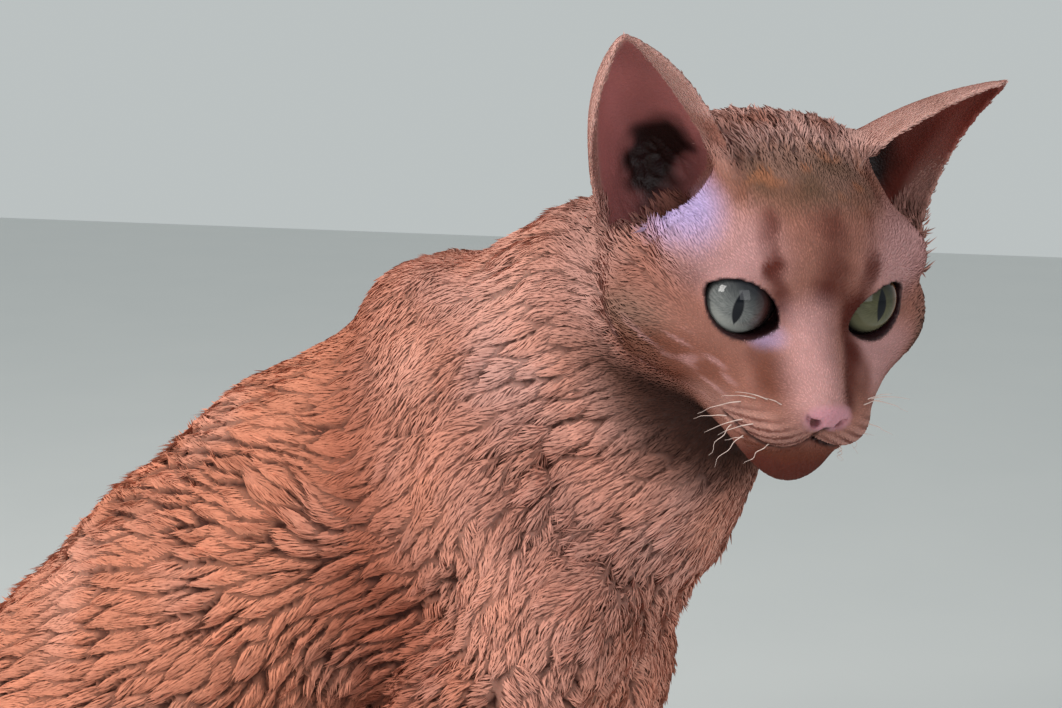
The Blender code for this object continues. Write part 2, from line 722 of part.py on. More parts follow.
def build_flesh():
    """Meshes each part from the coat's surface, and cuts it to its region, clear of the ones before it."""
    built, earlier = {}, []
    draw = random.Random(SEED)
    locks = [lock_solid(place, draw) for place in lock_places()]
    for name, region, low, high, step, triangles in fleshy_parts():
        part = new_object(name, *surface(coat_distance, low, high, step))
        keep_largest(part)
        thin_out(part, triangles, face_care if name == "head" else None)
        if name.startswith(WAVY_PARTS):
            add_locks(part, locks, low, high)
            thin_out(part, LOCK_THINNING * triangle_count(part))
        own = region_solid(region)
        combine(part, own, "INTERSECT")
        remove(own)
        for taken in earlier:
            cutter = region_solid(taken, GAP)
            combine(part, cutter, "DIFFERENCE")
            remove(cutter)
        keep_largest(part)
        earlier.append(region)
        built[name] = part
    for lock in locks:
        remove(lock)
    return built


# Eyes and ears
def build_eyes(head):
    """An eyeball in each socket, which is cut a little wider than the ball."""
    eyes = {}
    for name, side in SIDES.items():
        centre = from_head(on_side(EYE_CENTRE, side))
        socket = ball_cutter(centre, (EYE_RADIUS,) * 3, GAP)
        combine(head, socket, "DIFFERENCE")
        remove(socket)
        eye = ball_cutter(centre, (EYE_RADIUS,) * 3)
        eye.name = f"eye_{name}"
        eyes[eye.name] = eye
    keep_largest(head)
    return eyes


def skin_reach(height, out, centre):
    """How far the skin of the head is from an upright axis, at a height and in a direction."""
    reaches = np.arange(2.0, 40.0, 0.1)
    points = np.zeros((len(reaches), 3))
    points[:, :2] = np.array(centre) + reaches[:, None] * np.array(out)
    points[:, 2] = height
    outside = head_distance(HEAD_CENTRE + points @ HEAD_AXES.T) - HEAD_FUR > 0
    return reaches[np.argmax(outside)]


def line_cutter(path, aside):
    """A thin wedge along a line in the skin. path holds (height, outward direction, depth)."""
    points, faces = [], []
    for height, out, depth in path:
        reach = skin_reach(height, out, MOUTH_CENTRE)
        near = np.array((*(np.array(MOUTH_CENTRE) + (reach - depth) * np.array(out)), height))
        far = np.array((*(np.array(MOUTH_CENTRE) + (reach + 2.0) * np.array(out)), height))
        edge = np.array(aside) * LINE_WIDTH
        points += [from_head(near), from_head(far + edge), from_head(far - edge)]
    for i in range(0, len(points) - 3, 3):
        for k in range(3):
            a, b = i + k, i + (k + 1) % 3
            faces += [(a, b, b + 3), (a, b + 3, a + 3)]
    faces += [(2, 1, 0), (len(points) - 3, len(points) - 2, len(points) - 1)]
    cutter = new_object("cutter", points, faces)
    face_outwards(cutter)
    return cutter


def cut_mouth(head, steps=9):
    """Cuts the line of the mouth, and the short one from the nose down to it."""
    path = []
    for k in range(-steps, steps + 1):
        share = k / steps
        angle = share * MOUTH_SPREAD
        height = MOUTH_HEIGHT - MOUTH_DROP * math.sin(math.pi * abs(share))
        path.append((height, (math.cos(angle), math.sin(angle)), LINE_DEPTH * (1 - 0.7 * share**4)))
    upright = [(PHILTRUM_TOP + (MOUTH_HEIGHT - PHILTRUM_TOP) * t, (1.0, 0.0), 1.5) for t in (0.0, 0.5, 1.0)]
    for line, aside in ((path, (0, 0, 1)), (upright, (0, 1, 0))):
        cutter = line_cutter(line, aside)
        combine(head, cutter, "DIFFERENCE")
        remove(cutter)


def bow(start, through, end, t):
    """A point of the curve from start to end that passes through the middle point halfway."""
    control = 2 * through - (start + end) / 2
    return (1 - t) ** 2 * start + 2 * t * (1 - t) * control + t * t * end


def ear_section(v, side):
    """The inner edge, back and outer edge of the ear's cup at a height: 0 at the base, 1 at the tip."""
    tip = np.array(EAR_TIPS[side])
    lines = []
    for base, bend in zip(EAR_BASES[side], EAR_BENDS[side]):
        lines.append((1 - v) ** 2 * np.array(base) + 2 * v * (1 - v) * np.array(bend) + v * v * tip)
    return [from_head(on_side(p, side)) for p in lines]


def ear_solid(name, side):
    """A cupped sheet that thins towards its rim and tip."""
    across, up = EAR_STEPS
    middle = np.zeros((up + 1, across + 1, 3))
    for j in range(up + 1):
        v = EAR_ROOT + (EAR_TOP - EAR_ROOT) * j / up
        inner, back, outer = ear_section(v, side)
        for i in range(across + 1):
            middle[j, i] = bow(inner, back, outer, i / across)
    along = np.gradient(middle, axis=1)
    rise = np.gradient(middle, axis=0)
    normal = np.cross(along, rise) * side
    normal /= np.linalg.norm(normal, axis=2, keepdims=True)
    rim = np.abs(np.linspace(-1, 1, across + 1)) ** 3
    height = np.linspace(0, 1, up + 1) ** 2
    thick = EAR_THICK + (EAR_RIM - EAR_THICK) * np.maximum(rim[None, :], height[:, None])
    wide = np.linalg.norm(middle[:, -1] - middle[:, 0], axis=1)
    thick = np.minimum(thick, EAR_THICK_SHARE * wide[:, None])
    shift = normal * thick[:, :, None] / 2
    points = np.concatenate([(middle + shift).reshape(-1, 3), (middle - shift).reshape(-1, 3)])
    width = across + 1
    half = width * (up + 1)
    faces = []
    for j in range(up):
        for i in range(across):
            a, b, c, d = j * width + i, j * width + i + 1, (j + 1) * width + i + 1, (j + 1) * width + i
            faces += [(a, b, c), (a, c, d), (half + a, half + c, half + b), (half + a, half + d, half + c)]
    edge = [(0, i) for i in range(across)] + [(j, across) for j in range(up)]
    edge += [(up, i) for i in range(across, 0, -1)] + [(j, 0) for j in range(up, 0, -1)]
    loop = [j * width + i for j, i in edge]
    for a, b in zip(loop, loop[1:] + loop[:1]):
        faces += [(a, half + a, half + b), (a, half + b, b)]
    ear = new_object(name, points, faces)
    face_outwards(ear)
    return ear


def face_outwards(obj):
    shape = bmesh.new()
    shape.from_mesh(obj.data)
    bmesh.ops.recalc_face_normals(shape, faces=shape.faces)
    shape.to_mesh(obj.data)
    shape.free()


def swollen(obj, amount):
    """A copy whose surface is moved out by this amount."""
    twin = copy_of(obj, "swollen")
    normals = [v.normal.copy() for v in twin.data.vertices]
    for vert, normal in zip(twin.data.vertices, normals):
        vert.co += normal * amount
    return twin


def build_ears(head):
    """Both ears, each ending a little clear of the head that it grows from."""
    ears = {}
    clear = swollen(head, GAP)
    for name, side in SIDES.items():
        ear = ear_solid(f"ear_{name}", side)
        combine(ear, clear, "DIFFERENCE")
        keep_largest(ear)
        ears[ear.name] = ear
    remove(clear)
    return ears


# Finish
def material(name, colour, roughness):
    """A plain finish: base colour, roughness and no metal."""
    finish = bpy.data.materials.new(name)
    finish.use_nodes = True
    shader = finish.node_tree.nodes["Principled BSDF"]
    shader.inputs["Base Color"].default_value = (*colour, 1.0)
    shader.inputs["Roughness"].default_value = roughness
    shader.inputs["Metallic"].default_value = 0.0
    finish.diffuse_color = (*colour, 1.0)
    return finish


def finish_of(name):
    """Colour and roughness of a part."""
    for start, colour, roughness in FINISHES:
        if name.startswith(start):
            return colour, roughness
    return COAT_COLOUR, 0.75


def main():
    for obj in list(bpy.data.objects):
        bpy.data.objects.remove(obj)
    parts = build_flesh()
    cut_mouth(parts["head"])
    parts.update(build_ears(parts["head"]))
    parts.update(build_eyes(parts["head"]))
    to_world = Matrix.Scale(MILLIMETRE, 4) @ Matrix.Translation(Vector(-ORIGIN))
    for name, part in parts.items():
        part.name = name
        part.data.transform(to_world)
        part.data.shade_smooth()
        part.data.materials.clear()
        part.data.materials.append(material(name, *finish_of(name)))


main()
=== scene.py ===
"""The looks of a life-size devon rex cat: skin, coat, eyes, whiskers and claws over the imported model.

The skin is meshed from the same soft forms as the solids, in millimetres in the cat's own frame, and the
coat is tufts of solid mesh over it. The last step of each piece scales it to metres in the row frame.
Axes: +X is the way the body faces, +Y is the cat's left, +Z is up, and the floor is at zero.
"""

import itertools
import math

import bmesh
import bpy
import numpy as np
import openvdb
from mathutils import Matrix, Vector
from mathutils.bvhtree import BVHTree
from mathutils.kdtree import KDTree

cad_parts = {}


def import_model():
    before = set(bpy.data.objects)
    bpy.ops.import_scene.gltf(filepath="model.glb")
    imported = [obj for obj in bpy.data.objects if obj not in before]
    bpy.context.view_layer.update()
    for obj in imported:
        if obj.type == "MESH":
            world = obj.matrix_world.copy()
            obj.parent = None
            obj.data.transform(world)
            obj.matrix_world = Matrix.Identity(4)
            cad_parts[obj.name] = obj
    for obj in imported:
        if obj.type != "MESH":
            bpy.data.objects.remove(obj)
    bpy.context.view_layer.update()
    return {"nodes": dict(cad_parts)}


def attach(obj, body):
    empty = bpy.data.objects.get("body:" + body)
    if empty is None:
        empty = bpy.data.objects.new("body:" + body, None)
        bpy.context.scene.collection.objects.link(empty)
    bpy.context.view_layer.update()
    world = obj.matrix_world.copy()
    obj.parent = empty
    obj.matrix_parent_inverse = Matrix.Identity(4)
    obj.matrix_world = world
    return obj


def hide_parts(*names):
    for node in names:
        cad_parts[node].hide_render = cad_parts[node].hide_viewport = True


MILLIMETRE = 0.001
ORIGIN = np.array((-135.0, -25.0, 0.0))
SIDES = {"left": 1, "right": -1}
SEED = 5

# The head: where it is and how it is turned
HEAD_CENTRE = np.array((0.0, -16.0, 272.0))
HEAD_TURN, HEAD_NOD, HEAD_TILT = -51.7, 23.6, -3.8
HEAD_REACH, HEAD_NEAR = 88.0, 110.0
HEAD_SKIN, BODY_SKIN, FOOT_SKIN = 0.1, 1.5, 0.1
HEAD_BLEND = 13.0

# The eye, in the head's own frame, on the cat's left
EYE_CENTRE = (20.8, 17.8, 0.4)
EYE_RADIUS = 10.6
EYE_AXIS = (0.905, 0.40, 0.10)
EYE_GAP = 0.3
LID, LID_RIM = 1.0, 0.55

# The line of the mouth, in the head's own frame
MOUTH_CENTRE = (34.0, 0.0)
MOUTH_SPREAD = math.radians(84)
MOUTH_HEIGHT, MOUTH_DROP = -27.0, 2.6
PHILTRUM_TOP = -20.5

# The ears, in the head's own frame, each as it would be on the cat's left: three lines, along the inner edge,
# the back and the outer edge, bend as they rise to the tip. The left ear is turned further out than the right
EAR_TIPS = {1: (1.5, 57.5, 57.0), -1: (-0.5, 56.6, 61.2)}
EAR_BASES = {
    1: ((5.3, 18.8, 34.6), (-21.0, 32.0, 24.5), (-0.2, 48.9, 1.4)),
    -1: ((6.4, 20.7, 30.3), (-19.0, 31.9, 20.0), (-3.1, 46.2, 3.0)),
}
EAR_BENDS = {
    1: ((5.5, 31.3, 49.1), (-16.0, 44.8, 43.5), (-6.0, 44.7, 28.8)),
    -1: ((1.4, 35.7, 55.7), (-20.8, 55.5, 40.3), (-6.4, 61.9, 25.6)),
}
EAR_ROOT, EAR_TOP = -0.12, 0.968
EAR_UP = (0.0, 0.62, 0.78)
EAR_STEPS = (20, 28)
EAR_THICK, EAR_RIM, EAR_THICK_SHARE = 2.0, 0.8, 0.2

# Limbs, on the cat's left
ELBOW = (-92.0, 37.0, 118.0)
WRIST = (-64.0, 28.0, 34.0)
FLOOR_CLEARANCE = 0.0
FOREPAW = (-48.0, 28.0, 9.6)
KNEE = (-146.0, 49.0, 84.0)
HOCK = (-246.0, 40.0, 22.0)
HINDPAW = (-150.0, 50.0, 9.6)
LEGS_PART = -122.0

# The tail: x, y and radius
TAIL_ROOT_HEIGHTS = (36.0, 21.0)
TAIL_PATH = (
    (-286, 0, 17), (-308, -16, 13.0), (-318, -48, 10.5), (-304, -84, 9.4), (-268, -105, 8.6),
    (-222, -112, 7.8), (-176, -112, 7.0), (-134, -105, 6.2), (-102, -93, 5.3), (-84, -80, 4.0),
)
TAIL_LYING = 0.2

# Meshing of the skin
BODY_STEP, HEAD_STEP = 1.35, 0.85
SEAM_OUT, SEAM_AT = np.array((-0.500, -0.250, -0.829)), 40.0
SEAM_MARGIN = 4.0

# The way the coat lies. On the flank it fans out from a whorl behind the elbow
BACK_LIE = (-0.97, 0.0, 0.07)
SHOULDER_LIE = (-0.87, 0.0, -0.49)
CHEST_LIE = (-0.22, 0.0, -0.97)
THIGH_LIE = (-0.82, 0.0, -0.57)
DOWN_LIE = (0.0, 0.0, -1.0)
FORWARD_LIE = (0.94, 0.0, -0.34)
WHORL = (-112.0, 182.0)
NOSE_TIP = (52.0, 0.0, -17.0)

# The coat's locks: width and length by zone, and how much the way they point varies
LOCK_SIZES = {
    "flank": (4.9, 19.0, 0.14), "shoulder": (4.5, 21.0, 0.17), "thigh": (5.2, 15.0, 0.20),
    "neck": (4.2, 17.0, 0.24), "chest": (4.3, 8.5, 0.46), "ruff": (3.2, 9.0, 0.40),
}
RUFF_PLACE, RUFF_REACH = (4.0, 40.0, -12.0), (27.0, 22.0, 28.0)
LOCK_CLOSE, LOCK_TRIES, LOCK_NEIGHBOURS = 0.80, 40000, 12
LOCK_HEIGHT, LOCK_FOOT = 3.5, 0.66
LOCK_WANDER, LOCK_WAVE, RUFF_LOCKS = 2.7, 9.5, 0.60

# Tufts by zone: how many to a square millimetre, length, half width, height, and sway in degrees
TUFTS = {
    "body": (1.25, 6.0, 0.29, 0.50, 8.0),
    "neck": (1.40, 5.2, 0.26, 0.55, 12.0),
    "chest": (1.45, 4.4, 0.27, 0.60, 20.0),
    "limbs": (1.10, 3.8, 0.28, 0.34, 9.0),
    "feet": (1.60, 2.5, 0.24, 0.26, 10.0),
    "head": (2.95, 2.0, 0.18, 0.20, 14.0),
    "ruff": (2.00, 5.4, 0.23, 1.00, 24.0),
    "ears": (2.80, 1.6, 0.155, 0.14, 12.0),
}
# Painted shade at each tuft's root and a painted highlight at its tip, for root, both sides and tip.
TUFT_ROOT_SHADE_TIP_LIGHT = (0.84, 1.0, 1.0, 1.07)
TIP_RISE, UPPER_RISE, TUFT_TILT = 1.7, 2.2, 0.10
TUFT_MOST = 45000
PATCH = 0.003

# The eyeballs: where each looks, in the head's own frame, and what is on its front
GAZE = {1: (0.943, 0.113, 0.302), -1: (0.906, -0.396, 0.142)}
EYE_STEPS = (56, 72)
CORNEA_RISE, IRIS_RADIUS, PUPIL = 0.9, 8.4, (1.35, 4.6)
# The left iris is a darker copy of the right, painted shade under its brow. In each, 'low' is a painted
# reflection on the lower iris, 'shade' the lid's painted shadow over its upper part, and 'side' paints one
# side: the nose's shade on the right eye, an orange tint on the left.
IRIS_COLOURS = {
    1: {"light": (0.115, 0.110, 0.055), "dark": (0.050, 0.048, 0.024), "low": (0.15, 0.145, 0.085),
        "shade": (0.016, 0.015, 0.010), "side": (0.17, 0.060, 0.018)},
    -1: {"light": (0.20, 0.205, 0.195), "dark": (0.075, 0.080, 0.080), "low": (0.33, 0.34, 0.315),
         "shade": (0.024, 0.025, 0.029), "side": (0.050, 0.018, 0.016)},
}
PUPIL_BLACK, EYE_EDGE = (0.002, 0.003, 0.006, 1.0), (0.010, 0.007, 0.007, 1.0)

# Colours of the coat and skin, linear
# The crease colour darkens the tail's rings, and in the creases between locks it is painted shade over the
# darker undercoat.
RED, LIGHT_RED, CREASE_SHADE_AND_BANDS = (0.60, 0.225, 0.138), (0.68, 0.32, 0.235), (0.062, 0.015, 0.009)
SHOULDER_SHADE_RED, CREASE_SHADE_SKIN = (0.31, 0.090, 0.052), (0.050, 0.012, 0.007)
CREAM, FACE_RED, FACE_BROWN = (0.64, 0.36, 0.31), (0.37, 0.155, 0.115), (0.135, 0.070, 0.040)
CHEEK_RED, GREY_BROWN, STRIPE = (0.155, 0.040, 0.020), (0.20, 0.120, 0.090), (0.100, 0.016, 0.009)
LILAC_HIGHLIGHT, PALE_PINK, DARK_LIP = (0.53, 0.42, 0.72), (0.60, 0.32, 0.31), (0.030, 0.008, 0.006)
NOSE_PINK, EAR_CANAL_SHADE = (0.50, 0.225, 0.26), (0.014, 0.004, 0.003)
# The left ear's inside is a darker copy of the right's: painted shade on the ear turned from the light.
EAR_PINK_LIT_AND_SHADED = {1: (0.23, 0.050, 0.036), -1: (0.40, 0.135, 0.125)}
BAND_SPOT, LID_DARK, THROAT_SHADOW = (0.42, 0.155, 0.075), (0.026, 0.008, 0.009), (0.010, 0.003, 0.002)

# Dark lines of the face, in the head's own frame: start, end, half width and strength
FACE_STRIPES = (
    ((26.0, -0.5, 23.0), (34.0, 1.5, 9.0), 4.2, 1.0), ((34.0, 2.0, 9.0), (34.5, 6.0, 2.0), 4.6, 0.90),
    ((22.0, -15.5, 23.0), (30.0, -15.5, 13.0), 2.2, 0.75), ((30.0, -15.0, 13.0), (34.5, -9.0, 2.0), 2.6, 1.0),
    ((22.0, 13.0, 23.0), (30.0, 12.5, 13.0), 2.2, 0.70), ((30.0, 12.5, 13.0), (34.5, 9.5, 1.0), 3.2, 0.95),
    ((15.0, -22.0, 27.0), (5.0, -20.0, 31.0), 2.2, 0.55), ((15.0, 21.0, 27.0), (5.0, 20.0, 31.0), 2.2, 0.55),
    ((34.0, -17.0, -11.0), (44.0, -12.0, -19.0), 2.6, 0.60), ((20.0, 31.0, 11.0), (14.0, 38.0, 8.0), 2.4, 0.55),
)
# The ear canal's painted shade: its place and reach in the head's frame.
CANAL_SHADE_PLACE, CANAL_SHADE_REACH = (-15.0, 33.0, 22.0), (11.0, 8.0, 15.0)
# How much painted shade darkens the skin under the locks.
SKIN_PAINTED_SHADE = 0.35
# The throat's painted shadow: middle and reach of the patch where the head shades it, painted nearly black.
THROAT_SHADOW_PLACE, THROAT_SHADOW_REACH = (-14.0, -12.0, 236.0), (27.0, 36.0, 28.0)

# The camera and the light
CAMERA_PLACE = (0.2274, -0.4329, 0.3237)
CAMERA_RIGHT, CAMERA_DOWN = (0.9397, 0.3420, 0.0), (0.0594, -0.1631, -0.9848)
CAMERA_FIELD = math.radians(36.0)


def head_axes():
    """The head's forward, left and up directions, as columns."""
    turn = Matrix.Rotation(math.radians(HEAD_TURN), 3, "Z")
    nod = Matrix.Rotation(math.radians(HEAD_NOD), 3, "Y")
    tilt = Matrix.Rotation(math.radians(HEAD_TILT), 3, "X")
    return np.array(turn @ nod @ tilt)


HEAD_AXES = head_axes()


def from_head(point):
    """A point of the head's own frame, in the cat's frame."""
    return HEAD_CENTRE + HEAD_AXES @ np.array(point, float)


def to_head(points):
    """Points of the cat's frame, in the head's own frame."""
    return (points - HEAD_CENTRE) @ HEAD_AXES


def on_side(point, side):
    """The point on the cat's left for side 1, and its mirror on the right for side -1."""
    return (point[0], point[1] * side, point[2])


def fold(q):
    """Points of the head's frame with its right side laid on its left."""
    return np.stack((q[:, 0], np.abs(q[:, 1]), q[:, 2]), axis=1)


def unit_rows(rows):
    return rows / (np.linalg.norm(rows, axis=1, keepdims=True) + 1e-12)


# Soft forms: each gives a signed distance in millimetres, negative inside
def ball(centre, radii, axes=None):
    """An ellipsoid. axes holds its three directions as columns."""
    centre, radii = np.array(centre, float), np.array(radii, float)
    turn = np.eye(3) if axes is None else np.array(axes, float)

    def distance(p):
        q = (p - centre) @ turn
        near = np.linalg.norm(q / radii, axis=1)
        slope = np.linalg.norm(q / radii**2, axis=1) + 1e-9
        return near * (near - 1.0) / slope

    return distance


def limb(start, end, r_start, r_end, narrow=1.0):
    """A tapering rod with round ends. narrow above 1 makes it thinner from side to side."""
    scale = np.array((1.0, narrow, 1.0))
    a, b = np.array(start, float) * scale, np.array(end, float) * scale
    along = b - a
    length2 = float(along @ along)

    def distance(p):
        q = p * scale - a
        t = np.clip(q @ along / length2, 0.0, 1.0)
        off = np.linalg.norm(q - t[:, None] * along, axis=1)
        return (off - r_start - t * (r_end - r_start)) / math.sqrt(narrow)

    return distance


def blend(a, b, reach):
    """Joins two distances with a soft fillet of this reach."""
    h = np.maximum(reach - np.abs(a - b), 0.0) / reach
    return np.minimum(a, b) - h * h * reach * 0.25


def carve(a, b, reach):
    """Takes b out of a with a soft edge."""
    return -blend(-a, b, reach)


def blended(p, forms):
    """Joins a list of (form, reach) one after another."""
    total = forms[0][0](p)
    for form, reach in forms[1:]:
        total = blend(total, form(p), reach)
    return total


# The body
def trunk_forms():
    """Chest, ribs, loin and rump along the back, each as (x, z, radius, narrowing)."""
    line = (
        (-63, 200, 39, 1.12), (-99, 200, 49.5, 1.20), (-142, 176, 49.5, 1.17), (-184, 142, 49.5, 1.10),
        (-220, 107, 49.5, 1.05), (-241, 77, 49.5, 1.04), (-251, 47.2, 47.8, 1.03),
    )
    forms = []
    for (x0, z0, r0, n0), (x1, z1, r1, n1) in zip(line, line[1:]):
        forms.append((limb((x0, 0, z0), (x1, 0, z1), r0, r1, (n0 + n1) / 2), 14.0))
    forms.append((ball((-108, 0, 158), (46, 33, 34)), 16.0))
    forms.append((ball((-64.5, 0, 150), (33, 30, 40)), 10.0))
    return forms


def neck_forms():
    """The neck, from the withers to the back of the head, and the throat under it."""
    return [
        (limb((-82, 0, 229), (-48, 1, 250), 37, 32, 1.08), 18.0),
        (limb((-48, 1, 248), (-16, 0, 261), 32, 28, 1.05), 12.0),
        (limb((-43, 0, 201), (-17, -3, 246), 32, 24, 1.12), 10.0),
    ]


def foreleg_forms(side):
    """Shoulder blade, upper arm, forearm and wrist of one side."""
    blade, shoulder = on_side((-80, 26, 205), side), on_side((-57, 30, 168), side)
    elbow, wrist, paw = on_side(ELBOW, side), on_side(WRIST, side), on_side(FOREPAW, side)
    return [
        (limb(on_side((-104, 13, 250), side), blade, 13, 21), 16.0),
        (limb(blade, shoulder, 22, 22), 14.0),
        (limb(shoulder, on_side((-78, 38, 134), side), 22, 19), 10.0),
        (limb(on_side((-80, 38, 136), side), elbow, 19, 14), 10.0),
        (limb(elbow, on_side((-80, 34, 90), side), 14.5, 13), 6.0),
        (limb(on_side((-80, 34, 90), side), wrist, 13, 8.6), 6.0),
        (limb(wrist, paw, 8.8, 8.6), 5.0),
    ]


def toe_places(centre, side, long, wide):
    """Where the four toes of a paw end, and where they start."""
    x, y, _ = on_side(centre, side)
    for forward, out in ((0.36, -0.34), (0.52, -0.12), (0.52, 0.12), (0.36, 0.34)):
        yield (x, y + out * wide * 0.8, 9.0), (x + forward * long, y + out * wide, 6.0)


def paw_forms(centre, side, long, wide):
    """A paw: the pad, and four toes that spread a little."""
    forms = [(ball(on_side(centre, side), (long * 0.52, wide * 0.50, 9.6)), 6.0)]
    for toe, (start, tip) in enumerate(toe_places(centre, side, long, wide)):
        forms.append((limb(start, tip, 5.2, 5.9), 1.6 if toe else 3.0))
    return forms


def hindleg_forms(side):
    """Thigh, shank and long hind foot of one side, folded as in a sitting cat."""
    knee, hock, paw = on_side(KNEE, side), on_side(HOCK, side), on_side(HINDPAW, side)
    return [
        (ball(on_side((-208, 36, 84), side), (58, 27, 52)), 14.0),
        (limb(on_side((-214, 40, 84), side), knee, 30, 18), 12.0),
        (limb(knee, on_side((-206, 44, 36), side), 17, 14), 8.0),
        (limb(on_side((-206, 44, 36), side), hock, 14, 11), 8.0),
        (limb(hock, on_side((-236, 42, 13), side), 10.5, 10.0), 5.0),
        (limb(on_side((-236, 42, 12), side), paw, 9.2, 8.4), 5.0),
    ]


def tail_points():
    """The tail's middle line, lying on the floor but for its root."""
    points = []
    for i, (x, y, radius) in enumerate(TAIL_PATH):
        points.append((x, y, max(radius + TAIL_LYING, *TAIL_ROOT_HEIGHTS[i:i + 1], 0.0)))
    return points


def tail_forms():
    """The tail, as short limbs along its path."""
    points, radii = tail_points(), [radius for *_, radius in TAIL_PATH]
    return [(limb(*points[i:i + 2], *radii[i:i + 2]), 3.0) for i in range(len(points) - 1)]


PAWS = ((FOREPAW, 30, 25), (HINDPAW, 34, 25))


def body_distance(p):
    """The skin of everything but the head."""
    total = blended(p, trunk_forms() + neck_forms())
    for side in SIDES.values():
        total = blend(total, blended(p, foreleg_forms(side)), 12.0)
        total = blend(total, blended(p, hindleg_forms(side)), 10.0)
    total = blend(total, blended(p, tail_forms()), 9.0)
    feet = np.full(len(p), 60.0)
    low = p[:, 2] < 40.0
    q = p[low]
    for side in SIDES.values():
        for centre, long, wide in PAWS:
            feet[low] = np.minimum(feet[low], blended(q, paw_forms(centre, side, long, wide)))
    return blend(total, feet, 4.0)


# The head, in its own frame: forward, left, up
def skull_forms():
    """Skull, forehead, cheekbones, jaw, nose and muzzle of both sides."""
    forms = [
        (ball((-8, 0, 5), (36, 35, 29)), 1.0),
        (limb((-10, -17, 19), (-10, 17, 19), 13.5, 13.5), 10.0),
        (ball((10, 0, 7), (23, 27, 22)), 12.0),
        (ball((2, 0, -14), (26, 25, 20)), 12.0),
        (limb((26, 0, -3), (46.5, 0, -15.5), 8.8, 6.4), 8.0),
        (ball((47.8, 0, -17.6), (5.8, 6.6, 4.6)), 3.0),
        (ball((39, 0, -35.0), (8.8, 9.2, 10.0)), 7.0),
    ]
    for side in SIDES.values():
        forms += [
            (ball(on_side((7, 28, -10), side), (19, 16.5, 14)), 12.0),
            (limb(on_side((12, 29, -11), side), on_side((33, 13, -19), side), 12, 10), 9.0),
            (limb(on_side((-6, 24, -19), side), on_side((34, 7, -30.5), side), 12, 8.5), 9.0),
            (limb(on_side((22, 10, 11), side), on_side((14, 30, 10), side), 6, 8), 7.0),
            (ball(on_side((41, 8.6, -22.6), side), (11.0, 8.6, 8.2)), 5.0),
            (ball(on_side((-7, 32, 9), side), (14, 14.5, 18)), 8.0),
        ]
    return forms


def eye_axes(side):
    """The eye's frame, as columns: along the slit from the nose outwards, across it, and out of the head."""
    out = np.array(on_side(EYE_AXIS, side))
    out /= np.linalg.norm(out)
    slit = np.array(on_side((-8.5, 18.5, 7.3), side))
    slit -= out * (slit @ out)
    slit /= np.linalg.norm(slit)
    across = np.cross(out, slit) * side
    return np.stack((slit, across, out), axis=1)


def eye_opening(q, side):
    """The almond between the lids: two arcs that meet at the corners, in front of the eyeball."""
    r = (q - np.array(on_side(EYE_CENTRE, side))) @ eye_axes(side)
    slit, across = r[:, 0] + 1.2, r[:, 1]
    upper = np.hypot(slit, across + 4.2) - 11.8
    lower = np.hypot(slit, across - 4.6) - 11.6
    return np.maximum(np.maximum(upper, lower), -(r[:, 2] - 1.5))


def mouth_line(q):
    """How far a point of the muzzle is from the line of the mouth or the short upright line above it."""
    angle = np.arctan2(q[:, 1] - MOUTH_CENTRE[1], q[:, 0] - MOUTH_CENTRE[0])
    share = np.clip(np.abs(angle) / MOUTH_SPREAD, 0.0, 1.4)
    height = MOUTH_HEIGHT - MOUTH_DROP * np.sin(math.pi * np.minimum(share, 1.0))
    past = np.maximum(share - 1.0, 0.0) * 20.0
    line = np.hypot(q[:, 2] - height, past)
    above = np.maximum(q[:, 2] - PHILTRUM_TOP, 0.0) + np.maximum(MOUTH_HEIGHT - q[:, 2], 0.0)
    upright = np.where(q[:, 0] > MOUTH_CENTRE[0], np.hypot(q[:, 1], above), 9.0)
    return np.minimum(line, upright)


def head_distance(q):
    """The skin of the head, with lids, sockets, nostrils, the mouth's line and the bowls of the ears."""
    total = blended(q, skull_forms())
    front = q[:, 0] > 24.0
    groove = np.maximum(1.0 - mouth_line(q[front]) / 1.5, 0.0)
    total[front] += 1.5 * groove * groove
    for side in SIDES.values():
        eye = ball(on_side(EYE_CENTRE, side), (EYE_RADIUS,) * 3)(q)
        total = blend(total, eye - LID, 2.5)
        almond = eye_opening(q, side)
        rim = np.maximum(eye - LID - LID_RIM, np.abs(almond - 0.9) - 0.9)
        total = blend(total, rim, 1.2)
        total = carve(total, np.maximum(almond, eye - LID - 3.5), 0.6)
        total = np.maximum(total, -(eye - EYE_GAP))
        nostril = limb(on_side((54.0, 3.6, -18.8), side), on_side((49.5, 2.8, -19.6), side), 1.7, 1.3)
        total = carve(total, nostril(q), 0.6)
        wing = limb(on_side((52.4, 4.4, -18.6), side), on_side((49.6, 6.6, -17.0), side), 0.9, 0.5)
        total = carve(total, wing(q), 0.6)
        across, up = on_side((0.0, -0.69, 0.72), side), on_side((0.0, 0.72, 0.69), side)
        bowl = ball(on_side((-5, 38, 21), side), (13, 18, 15), np.stack(((1, 0, 0), across, up), axis=1))
        total = carve(total, bowl(q), 3.0)
        total = carve(total, limb(on_side((-8, 32, 14), side), on_side((-7, 24, 7), side), 6, 4)(q), 3.0)
    return total


def skin_distance(p):
    """The skin of the whole cat, but for the sheets of the ears."""
    low = np.clip(p[:, 2] / 60.0 - 0.4, 0.0, 1.0)
    total = body_distance(p) - FOOT_SKIN - (BODY_SKIN - FOOT_SKIN) * low
    near = np.linalg.norm(p - HEAD_CENTRE, axis=1) < HEAD_REACH
    if near.any():
        total[near] = blend(total[near], head_distance(to_head(p[near])) - HEAD_SKIN, HEAD_BLEND)
    return total


# Ears
def bow(start, through, end, t):
    """A point of the curve from start to end that passes through the middle point halfway."""
    control = 2 * through - (start + end) / 2
    return (1 - t) ** 2 * start + 2 * t * (1 - t) * control + t * t * end


